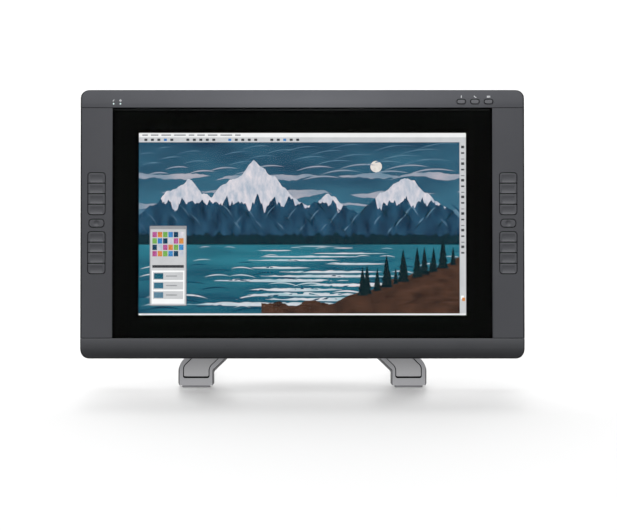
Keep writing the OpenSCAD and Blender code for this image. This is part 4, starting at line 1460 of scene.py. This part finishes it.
    def spots(self, count: int) -> Iterator[tuple[float, float, float]]:
        """Yields scattered points, by the steps of a low-discrepancy sequence.

        Args:
            count: How many there are.

        Yields:
            The place across and up the unit square, and the place across in millimetres.
        """
        left, right = self.box[0], self.box[2]
        for number in range(1, count + 1):
            across, up = (number * step % 1.0 for step in self.spot_steps)
            yield across, up, left + across * (right - left)

    def brushwork(self) -> None:
        """Paints loose strokes over the water, the rock faces and the sky, as a brush leaves them."""
        low, high, water = self.box[1], self.box[3], self.water
        for across, up, x in self.spots(self.wave_strokes):
            near = 1.0 - up
            self.stroke(x, low + up * (water - low - self.wave_margin), self.wave_length.at(near),
                        self.wave_width.at(near), self.wave_slant.at(across), Layer.GLINT,
                        pick(self.wave_tones, across, self.wave_turns))
        for across, up, x in self.spots(self.rock_strokes):
            self.stroke(x, water + self.rock_rise.at(up), self.rock_length.at(up), self.rock_width.at(across),
                        pick(self.rock_slants, across, self.slant_turns), Layer.SNOW,
                        pick(self.rock_tones, across, self.rock_turns))
        for across, up, x in self.spots(self.sky_strokes):
            self.stroke(x, high - self.sky_drop.at(up), self.sky_length.at(across), self.sky_width.at(up),
                        self.sky_slant.at(up), Layer.HAZE,
                        Picture.CLOUD if up > self.haze_share else Picture.FAR)

    def ridge(self, x: float) -> float:
        """Returns the height of the main range at x."""
        highest = max(peak.height - peak.slope * abs(x - peak.x) for peak in self.peaks)
        return self.water + highest + self.crag_line.at(x)

    def waterline(self, x: float) -> float:
        """Returns the height of the far shore at x, which is the same all along it."""
        return self.water

    def over_water(self, line: RoughLine) -> Callable[[float], float]:
        """Returns the height of a line over the water, as a function of x."""
        return lambda x: self.water + line.at(x)

    def shore_level(self, x: float) -> float:
        """Returns how far the near bank rises above its start at x."""
        return self.bank_slope * max(x - self.bank_start, 0.0)

    def mountains(self) -> None:
        """Paints the sky, the far range, the main peaks with snow and the wooded shore."""
        left, _, right, high = self.box
        self.sheet.block(self.box, Layer.SKY, Picture.SKY)
        self.sheet.disc(left + self.moon_across * (right - left), high - self.moon_drop, self.moon_r,
                        Layer.HAZE, Picture.MOON)
        for cloud in self.clouds:
            upper, lower = (self.over_water(line) for line in cloud.lines)
            self.band(upper, lower, Layer.HAZE, Picture.CLOUD)
        self.band(self.over_water(self.far_line), self.waterline, Layer.FAR, Picture.FAR)
        self.band(self.ridge, self.waterline, Layer.ROCK, Picture.ROCK, columns=260)
        self.band(self.ridge, self.over_water(self.snow_line), Layer.SNOW, Picture.SNOW, columns=320)
        self.band(self.over_water(self.wood_line), self.waterline, Layer.WOOD, Picture.WOOD, columns=320)

    def streak(self, row: int) -> None:
        """Paints one bright streak on the lake.

        Args:
            row: The streak, counted from the far shore.
        """
        left, low, right, _ = self.box
        depth = row / self.streaks
        fall = (self.water - low - self.streak_margin) * depth ** self.streak_crowding
        y = self.water - self.streak_top - fall
        middle = self.streak_middle.at(row)
        reach = self.streak_reach.at(row) + self.streak_spread * depth
        thick = self.streak_thick.at(depth)
        ripple = RoughLine(0.0, self.ripple_size, self.ripple_seed + row, self.ripple_share * thick)

        def bulge(x: float) -> float:
            """Returns half the streak's thickness at x."""
            return thick * (1 - ((x - middle) / reach) ** 2)

        self.band(lambda x: y + bulge(x) + ripple.at(x), lambda x: y - bulge(x), Layer.GLINT, Picture.GLINT,
                  (max(middle - reach, left), min(middle + reach, right)), columns=40)

    def pine(self, x: float, foot: float, height: float) -> None:
        """Adds a pine as stacked boughs, left of the painting's right edge.

        Args:
            x: Its place across the screen.
            foot: Height of its lowest bough.
            height: How tall it is.
        """
        for bough in range(self.boughs):
            low = foot + height * self.bough_step * bough
            top = self.bough_height * height
            half = min(height * self.bough_half * (1 - self.bough_taper * bough), self.box[2] - x)
            self.band(lambda s, lo=low, w=half: lo + top * (1 - abs(s - x) / w), lambda s, lo=low: lo,
                      (Layer.BOUGH, Layer.NEXT_BOUGH)[bough % 2], Picture.TREE, (x - half, x + half),
                      columns=8)

    def lake(self) -> None:
        """Paints the lake, its bright streaks and the near shore with its trees."""
        left, low, right, _ = self.box
        self.sheet.block((left, low, right, self.water + self.lake_lap), Layer.LAKE, Picture.LAKE)
        for row in range(self.streaks):
            self.streak(row)
        self.band(lambda x: low + self.shore_line.at(x) + self.shore_level(x), lambda x: low, Layer.SHORE,
                  Picture.SHORE, (self.shore_start, right), columns=120)
        for tree in range(self.trees):
            x = self.tree_place.at(tree) + self.tree_pitch * tree
            self.pine(x, low + self.tree_foot + self.shore_level(x), self.tree_height.at(tree))

    def paint(self) -> None:
        """Paints the mountains, the lake and the loose strokes over them."""
        self.mountains()
        self.lake()
        self.brushwork()


def shifted(box: Box, x: float, y: float) -> Box:
    """Returns a box moved by x and y."""
    return box[0] + x, box[1] + y, box[2] + x, box[3] + y


@dataclass(frozen=True)
class DrawingProgram:
    """The drawing program around the painting: a menu bar, a tray of buttons, tools and a colour panel."""

    sheet: Sheet
    menu_h: float = 6.4
    tray_h: float = 7.4
    tools_w: float = 9.4
    foot_h: float = 2.6
    entries: int = 9
    entry_start: float = 5.0
    entry_drop: float = 2.2
    entry_h: float = 2.0
    entry_gap: float = 4.5
    entry_lengths: tuple[float, ...] = (8.0, 11.0, 14.0, 17.0)
    buttons: int = 20
    button_start: float = 8.0
    button_pitch: float = 9.5
    button_w: float = 4.4
    button_h: float = 3.4
    buttons_per_group: int = 5
    group_gap: float = 14.0
    blue_every: int = 7
    first_blue: int = 3
    tools: int = 20
    tool_start: float = 7.0
    tool_pitch: float = 8.2
    tool_inset: tuple[float, float] = (2.4, 2.6)
    tool_half: float = 1.9
    tool_cut: float = 1.4
    tool_kinds: int = 3
    ground_chip: Box = (1.8, 24.0, 6.0, 29.0)
    brush_chip: Box = (3.6, 21.0, 7.8, 26.0)
    panel_place: tuple[float, float] = (16.0, 14.0)
    panel_w: float = 54.0
    panel_h: float = 118.0
    panel_frame: float = 1.2
    panel_head: float = 5.0
    chip_start: tuple[float, float] = (4.0, 17.0)
    chip_pitch: tuple[float, float] = (7.8, 9.4)
    chip_w: float = 6.6
    chip_h: float = 8.0
    chip_rows: int = 4
    chip_columns: int = 6
    chip_shift: int = 2
    slider: Box = (4.0, 56.0, 50.0, 60.0)
    list_box: Box = (3.0, 3.0, 51.0, 52.0)
    row_start: float = 38.0
    row_pitch: float = 14.0
    row_box: Box = (5.0, 0.0, 49.0, 11.5)
    thumb_box: Box = (6.5, 1.5, 20.0, 10.0)
    label_box: Box = (24.0, 5.0, 40.0, 6.6)

    @property
    def canvas(self) -> Box:
        """Returns the edges of the painting inside the program's trays."""
        left, low, right, high = self.sheet.edges
        return left, low + self.foot_h, right - self.tools_w, high - self.menu_h - self.tray_h

    def draw_trays(self) -> None:
        """Draws the menu bar, the tray below it, the strip at the foot and the tool column."""
        left, low, right, high = self.sheet.edges
        _, foot, column, canvas_top = self.canvas
        self.sheet.block((left, high - self.menu_h, right, high), Layer.TRAY, Picture.BAR)
        self.sheet.block((left, canvas_top, right, high - self.menu_h), Layer.TRAY, Picture.TRAY)
        self.sheet.block((left, low, right, foot), Layer.TRAY, Picture.BAR)
        self.sheet.block((column, foot, right, canvas_top), Layer.TRAY, Picture.TRAY)

    def draw_icons(self) -> None:
        """Draws the menu's entries, the tray's buttons, the tools and the two chosen colours."""
        left, low, right, high = self.sheet.edges
        _, _, column, canvas_top = self.canvas
        x = left + self.entry_start
        top = high - self.entry_drop
        for entry in range(self.entries):
            length = self.entry_lengths[entry % len(self.entry_lengths)]
            self.sheet.block((x, top - self.entry_h, x + length, top), Layer.ICON, Picture.FRAME)
            x += length + self.entry_gap
        low_y = high - self.menu_h - (self.tray_h + self.button_h) / 2
        for button in range(self.buttons):
            group = button // self.buttons_per_group
            x = left + self.button_start + self.button_pitch * button + self.group_gap * group
            tone = Picture.BLUE if button % self.blue_every == self.first_blue else Picture.INK
            self.sheet.block((x, low_y, x + self.button_w, low_y + self.button_h), Layer.ICON, tone)
        for tool in range(self.tools):
            y = canvas_top - self.tool_start - self.tool_pitch * tool
            top = y + self.tool_half - self.tool_cut * (tool % self.tool_kinds)
            box = (column + self.tool_inset[0], y - self.tool_half, right - self.tool_inset[1], top)
            self.sheet.block(box, Layer.ICON, Picture.INK)
        self.sheet.block(shifted(self.ground_chip, column, low), Layer.ICON, Picture.PAPER)
        self.sheet.block(shifted(self.brush_chip, column, low), Layer.PANEL, Picture.WARM)

    def draw_panel(self, x: float, y: float) -> None:
        """Draws the floating panel: a field of colour chips over a list of layers.

        Args:
            x: Its left edge.
            y: Its lower edge.
        """
        right, top = x + self.panel_w, y + self.panel_h
        self.sheet.block((x, y, right, top), Layer.PANEL, Picture.FRAME)
        frame_w = self.panel_frame
        self.sheet.block((x + frame_w, y + frame_w, right - frame_w, top - self.panel_head), Layer.FIELD,
                         Picture.TRAY)
        chips = (Picture.ROSE, Picture.WARM, Picture.LEAF, Picture.BLUE, Picture.ROCK, Picture.SNOW)
        for row in range(self.chip_rows):
            for column in range(self.chip_columns):
                left = x + self.chip_start[0] + self.chip_pitch[0] * column
                low = top - self.chip_start[1] - self.chip_pitch[1] * row
                self.sheet.block((left, low, left + self.chip_w, low + self.chip_h), Layer.CHIP,
                                 chips[(column + self.chip_shift * row) % len(chips)])
        self.sheet.block(shifted(self.slider, x, y), Layer.CHIP, Picture.INK)
        self.sheet.block(shifted(self.list_box, x, y), Layer.CHIP, Picture.PAPER)
        for row, thumb in enumerate((Picture.LAKE, Picture.SKY, Picture.FAR)):
            low = y + self.row_start - self.row_pitch * row
            self.sheet.block(shifted(self.row_box, x, low), Layer.ROW, Picture.TRAY)
            self.sheet.block(shifted(self.thumb_box, x, low), Layer.THUMB, thumb)
            self.sheet.block(shifted(self.label_box, x, low), Layer.THUMB, Picture.FRAME)

    def draw(self) -> None:
        """Draws the trays, their icons and the floating panel."""
        left, low, _, _ = self.sheet.edges
        self.draw_trays()
        self.draw_icons()
        self.draw_panel(left + self.panel_place[0], low + self.panel_place[1])


@dataclass(frozen=True)
class ScreenStack:
    """The cover glass, the black border printed on it and a line of painted highlight along its upper edge,
    and the lit picture behind it.
    """

    sheet: Sheet = field(default_factory=Sheet)
    glass_edge: float = 0.35
    print_inset: float = 0.3
    glass_film_z: float = 0.05
    line_drop: float = 2.8
    line_h: float = 1.3
    line_inset: float = 3.0

    def build_picture(self) -> None:
        """Builds the lit picture on the display panel's front."""
        program = DrawingProgram(self.sheet)
        Landscape(self.sheet, program.canvas).paint()
        program.draw()
        self.sheet.build()

    def lay_on_glass(self, name: str, bm: bmesh.types.BMesh, print_or_highlight: Finish) -> None:
        """Makes a flat shape on the tablet into a thin layer that rides with the glass: the printed border,
        or the painted highlight line.
        """
        place_on_tablet(bm)
        thicken(add_piece(name, bm, [print_or_highlight], "tablet", "black_plastic"), self.glass_film_z / 2)

    def build_border(self) -> None:
        """Builds the black border that is printed on the back of the glass around the picture."""
        low, high = TABLET.box("cover_glass")
        inset = self.print_inset
        whole = (low.x + inset, low.y + inset, high.x - inset, high.y - inset)
        bm = bmesh.new()
        bmesh.ops.create_grid(bm, x_segments=1, y_segments=1, size=1.0)
        bmesh.ops.inset_individual(bm, faces=bm.faces, thickness=0.5)
        outer = [v for v in bm.verts if v.co.length > 1.0]
        for vert in bm.verts:
            left, bottom, right, top = whole if vert in outer else self.sheet.edges
            vert.co = Vector((left if vert.co.x < 0 else right, bottom if vert.co.y < 0 else top,
                              low.z + self.glass_film_z))
        hole = [f for f in bm.faces if all(v not in outer for v in f.verts)]
        bmesh.ops.delete(bm, geom=hole, context="FACES")
        bmesh.ops.reverse_faces(bm, faces=[f for f in bm.faces if f.normal.z < 0])
        self.lay_on_glass("glass_border_print", bm, BORDER_PRINT)

    def build_edge_highlight(self) -> None:
        """Builds the thin grey line of painted highlight along the upper edge of the glass, where its edge
        would catch the light.
        """
        low, high = TABLET.box("cover_glass")
        size = Matrix.Diagonal((high.x - low.x - 2 * self.line_inset, self.line_h, 1.0, 1.0))
        place = Matrix.Translation(((low.x + high.x) / 2, high.y - self.line_drop, high.z + self.glass_film_z))
        bm = bmesh.new()
        bmesh.ops.create_grid(bm, x_segments=1, y_segments=1, size=0.5, matrix=place @ size)
        self.lay_on_glass("glass_line_print", bm, GLASS_EDGE_HIGHLIGHT)

    def build(self) -> None:
        """Builds the glass, its border and its painted highlight line, and the picture."""
        Softened("cover_glass", self.glass_edge).build()
        self.build_border()
        self.build_edge_highlight()
        self.build_picture()


@dataclass(frozen=True)
class CaseShells:
    """The bottom bar, side panels and rear cover, and the fittings on the back."""

    lower_edge: float = 1.0
    shell_edge: float = 0.5
    fitting_edge: float = 0.25
    fitting_segments: int = 2
    lower_rim_mm: float = 1.4
    tongue_t: float = 2.0
    tongue_reach: float = 6.0
    tongue_share: float = 0.72
    tongue_edge: float = 0.3
    socket_floor: float = 2.0

    def build_tongues(self) -> None:
        """Builds the contact tongues inside the three sockets on the back."""
        bm = bmesh.new()
        back = TABLET.to_world.inverted()
        root = TABLET.box("rear_connectors")[0].z + self.socket_floor
        for opening in RECORD["physics"]["openings"]:
            if not opening["name"].endswith("_socket"):
                continue
            low, high = (Vector(corner) for corner in opening["box_m"])
            middle = back @ ((low + high) / 2)
            width = (high.x - low.x) / MM * self.tongue_share
            size = Matrix.Diagonal((width, self.tongue_t, self.tongue_reach, 1.0))
            place = Matrix.Translation((middle.x, middle.y, root + self.tongue_reach / 2))
            made = bmesh.ops.create_cube(bm, size=1.0, matrix=place @ size)
            edges = list({e for v in made["verts"] for e in v.link_edges})
            bmesh.ops.bevel(bm, geom=edges, offset=self.tongue_edge, affect="EDGES", segments=2, profile=0.5,
                            material=-1)
        place_on_tablet(bm)
        even_shading(add_piece("socket_tongues", bm, [BLACK_PLASTIC], "tablet", "black_plastic"))

    def build(self) -> None:
        """Builds the shells with softened edges, and the tongues in the sockets."""
        FrontShell("bottom_bar", self.lower_edge, rim_mm=self.lower_rim_mm).build()
        for side in Side:
            FrontShell(f"{side.name.lower()}_side_panel", self.shell_edge).build()
        Softened("rear_cover", self.shell_edge).build()
        for node in ("touch_strips", "rear_connectors", "case_screws", "power_button"):
            Softened(node, self.fitting_edge, self.fitting_segments).build()
        self.build_tongues()


@dataclass(frozen=True)
class Stand:
    """The painted legs on their rubber feet, the hinge tube, the bracket and the release lever."""

    leg_edge: float = 0.9
    casting_edge: float = 0.8
    small_edge: float = 0.3

    def build(self) -> None:
        """Builds the stand's pieces with softened edges."""
        for side in Side:
            FrontLeg(f"{side.name.lower()}_front_leg", self.leg_edge, side=side).build()
            Softened(f"{side.name.lower()}_rear_leg", self.leg_edge).build()
            Softened(f"{side.name.lower()}_leg_inlay", self.small_edge).build()
        for node in ("mount_bracket", "release_lever"):
            Softened(node, self.casting_edge).build()
        for node in ("tube_caps", "rubber_feet", "mount_screws", "lever_pin"):
            Softened(node, self.small_edge, 2).build()


def dress_nodes() -> None:
    """Gives every node of the frame the finish of its slot, shown or not."""
    for name, node in frame["nodes"].items():
        for slot in node.material_slots:
            slot.material = finish_of(name).material()


@dataclass(frozen=True)
class Studio:
    """A white sweep under soft light, and the camera where the photograph was taken.

    Lamps are set apart as with flags and grids in a studio: some spare the floor, two light it alone from
    behind, and a low card lights only the front of the stand.
    """

    image_w: int = 617
    image_h: int = 530
    case_px: float = 444.0
    middle_px: tuple[float, float] = (302.4, 222.5)
    elevation_deg: float = 12.4
    distance: float = 16.0
    sensor_mm: float = 36.0
    floor_size: float = 40.0
    surround: str = "#ffffff"
    ambient: float = 0.42
    sun_side: float = -0.6
    sun_distance: float = 5.0
    sun_angle_deg: float = 45.0
    key_strength: float = 2.0
    key_elevation_deg: float = 66.0
    rim_strength: float = 0.4
    rim_elevation_deg: float = 122.0
    sweep_strength: float = 5.0
    sweep_low_share: float = 0.35
    sweep_elevation_deg: float = 126.5
    sweep_angle_deg: float = 72.0
    top_power: float = 0.85
    top_size: tuple[float, float] = (0.25, 0.15)
    top_offset: tuple[float, float, float] = (0.0, -0.21, 0.21)
    card_power: float = 4.1
    card_size: tuple[float, float] = (0.9, 0.06)
    card_offset: tuple[float, float, float] = (0.0, -0.8, 0.03)
    card_aim_z: float = 0.02

    def build_floor(self) -> bpy.types.Object:
        """Builds the pale floor, which keeps the shadow and is white to the camera where it is lit.

        Returns:
            The floor.
        """
        bm = bmesh.new()
        bmesh.ops.create_grid(bm, x_segments=1, y_segments=1, size=self.floor_size / 2)
        mesh = bpy.data.meshes.new("floor")
        bm.to_mesh(mesh)
        bm.free()
        mesh.materials.append(SWEEP_PAPER.material())
        floor = bpy.data.objects.new("floor", mesh)
        bpy.context.scene.collection.objects.link(floor)
        return floor

    def build_world(self) -> None:
        """Sets a white surround for the camera, gloss and glass, and a lower even light for the rest."""
        world = bpy.data.worlds.new("white_sweep")
        bpy.context.scene.world = world
        world.use_nodes = True
        tree = world.node_tree
        tree.nodes.clear()
        rays = add_node(tree, "ShaderNodeLightPath")
        gloss = add_node(tree, "ShaderNodeMath", {"operation": "MAXIMUM"},
                         {0: rays.outputs["Is Glossy Ray"], 1: rays.outputs["Is Transmission Ray"]})
        seen = add_node(tree, "ShaderNodeMath", {"operation": "MAXIMUM"},
                        {0: rays.outputs["Is Camera Ray"], 1: gloss.outputs[0]})
        light, white = (add_node(tree, "ShaderNodeBackground",
                                 {"Color": linear(self.surround), "Strength": level})
                        for level in (self.ambient, 1.0))
        mixed = add_node(tree, "ShaderNodeMixShader", links={
            0: seen.outputs[0], 1: light.outputs["Background"], 2: white.outputs["Background"]})
        add_node(tree, "ShaderNodeOutputWorld", links={"Surface": mixed.outputs["Shader"]})

    def aim(self, item: bpy.types.Object, place: Vector, target: Vector) -> None:
        """Puts a lamp or camera at a place and turns it to a target.

        Args:
            item: The lamp or camera.
            place: Where it stands.
            target: What it points at.
        """
        item.location = place
        item.rotation_euler = (target - place).to_track_quat("-Z", "Y").to_euler()
        bpy.context.scene.collection.objects.link(item)

    def flag(self, lamp: bpy.types.Object, pieces: Sequence[bpy.types.Object], state: str,
             shadows: bool = False) -> None:
        """Keeps a lamp's light on some pieces or off them, or keeps it clear of their shadows.

        Args:
            lamp: The lamp.
            pieces: The pieces.
            state: INCLUDE to take them alone, EXCLUDE to spare them.
            shadows: Whether this is about the shadows that they cast, not the light on them.
        """
        use = "blocker_collection" if shadows else "receiver_collection"
        flagged = bpy.data.collections.new(f"{lamp.name}_{use}")
        for piece in pieces:
            flagged.objects.link(piece)
        for item in flagged.collection_objects:
            item.light_linking.link_state = state
        setattr(lamp.light_linking, use, flagged)

    def hang_sun(self, name: str, strength: float, elevation_deg: float,
                 angle_deg: float) -> bpy.types.Object:
        """Hangs a broad far light.

        Args:
            name: Its name.
            strength: Its strength.
            elevation_deg: Its elevation, counted over the top from the front.
            angle_deg: How broad it is.

        Returns:
            The lamp.
        """
        sun = bpy.data.lights.new(name, "SUN")
        sun.energy = strength
        sun.angle = math.radians(angle_deg)
        rise = math.radians(elevation_deg)
        item = bpy.data.objects.new(name, sun)
        self.aim(item, Vector((self.sun_side, -self.sun_distance * math.cos(rise),
                               self.sun_distance * math.sin(rise))), Vector())
        return item

    def hang_strip(self, name: str, size: tuple[float, float], power: float,
                   offset: tuple[float, float, float], target: Vector) -> bpy.types.Object:
        """Hangs a strip light that the camera doesn't see.

        Args:
            name: Its name.
            size: Its width and height.
            power: Its power.
            offset: Its place from the target.
            target: What it points at.

        Returns:
            The lamp.
        """
        strip = bpy.data.lights.new(name, "AREA")
        strip.shape = "RECTANGLE"
        strip.size, strip.size_y = size
        strip.energy = power
        item = bpy.data.objects.new(name, strip)
        item.visible_camera = False
        self.aim(item, target + Vector(offset), target)
        return item

    def pieces(self, *ends: str) -> list[bpy.types.Object]:
        """Returns the pieces whose names have one of some endings."""
        return [piece for piece in bpy.context.scene.objects if piece.name.endswith(ends)]

    def build_lamps(self, floor: bpy.types.Object) -> None:
        """Hangs a soft key overhead, a weaker rim and the sweep's lights behind, a strip and a card.

        The legs cast no shadow in most of the sweep's light, and the front legs cast one in the rest.

        Args:
            floor: The floor, which the key and the rim spare and the sweep's lights are for.
        """
        legs = self.pieces("front_leg_soft", "leg_inlay_soft", "feet_soft")
        key = self.hang_sun("soft_key", self.key_strength, self.key_elevation_deg, self.sun_angle_deg)
        self.flag(key, [floor, *legs], "EXCLUDE")
        rim = self.hang_sun("soft_rim", self.rim_strength, self.rim_elevation_deg, self.sun_angle_deg)
        self.flag(rim, [floor], "EXCLUDE")
        low_share = self.sweep_low_share
        sweeps = (("sweep_light", 1.0 - low_share, self.pieces("rear_leg_soft", "front_leg_soft")),
                  ("sweep_low", low_share, self.pieces("rear_leg_soft")))
        for name, share, clear in sweeps:
            sweep = self.hang_sun(name, share * self.sweep_strength, self.sweep_elevation_deg,
                                  self.sweep_angle_deg)
            self.flag(sweep, [floor], "INCLUDE")
            self.flag(sweep, clear, "EXCLUDE", shadows=True)
        bar = (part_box("top_bar")[0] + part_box("top_bar")[1]) / 2
        self.hang_strip("top_strip", self.top_size, self.top_power, self.top_offset, bar)
        toes = (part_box("left_front_leg")[0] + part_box("right_front_leg")[1]) / 2
        toes.z = self.card_aim_z
        card = self.hang_strip("leg_card", self.card_size, self.card_power, self.card_offset, toes)
        self.flag(card, legs, "INCLUDE")

    def build_camera(self) -> None:
        """Sets a long lens so that the case has the photograph's width and place in the image."""
        camera = bpy.data.cameras.new("camera")
        front = TABLET.box("top_bar")[1].z
        aim_point = TABLET.to_world @ Vector((0.0, (CASE_LOW.y + CASE_HIGH.y) / 2, front))
        metres_per_px = (CASE_HIGH.x - CASE_LOW.x) * MM / self.case_px
        camera.sensor_width = self.sensor_mm
        camera.sensor_fit = "HORIZONTAL"
        camera.lens = self.sensor_mm * self.distance / (self.image_w * metres_per_px)
        camera.clip_end = 4 * self.distance
        rise = math.radians(self.elevation_deg)
        back = Vector((0.0, -math.cos(rise), math.sin(rise)))
        up = Vector((0.0, math.sin(rise), math.cos(rise)))
        right_px = self.image_w / 2 - self.middle_px[0]
        down_px = self.image_h / 2 - self.middle_px[1]
        target = aim_point + metres_per_px * (right_px * Vector((1.0, 0.0, 0.0)) - down_px * up)
        item = bpy.data.objects.new("camera", camera)
        self.aim(item, target + self.distance * back, target)
        bpy.context.scene.camera = item

    def build(self) -> None:
        """Builds the floor, the surround, the lamps and the camera."""
        bpy.context.scene.view_settings.view_transform = "Standard"
        floor = self.build_floor()
        self.build_world()
        self.build_lamps(floor)
        self.build_camera()


def main() -> None:
    """Builds the sub-assemblies in order, then the studio."""
    logging.basicConfig(level=logging.INFO)
    dress_nodes()
    for assembly in (CaseShells(), TopBar(), KeyColumns(), ScreenStack(), Stand(), Studio()):
        assembly.build()
        LOG.info("built %s", type(assembly).__name__)


if __name__ == "__main__":
    main()
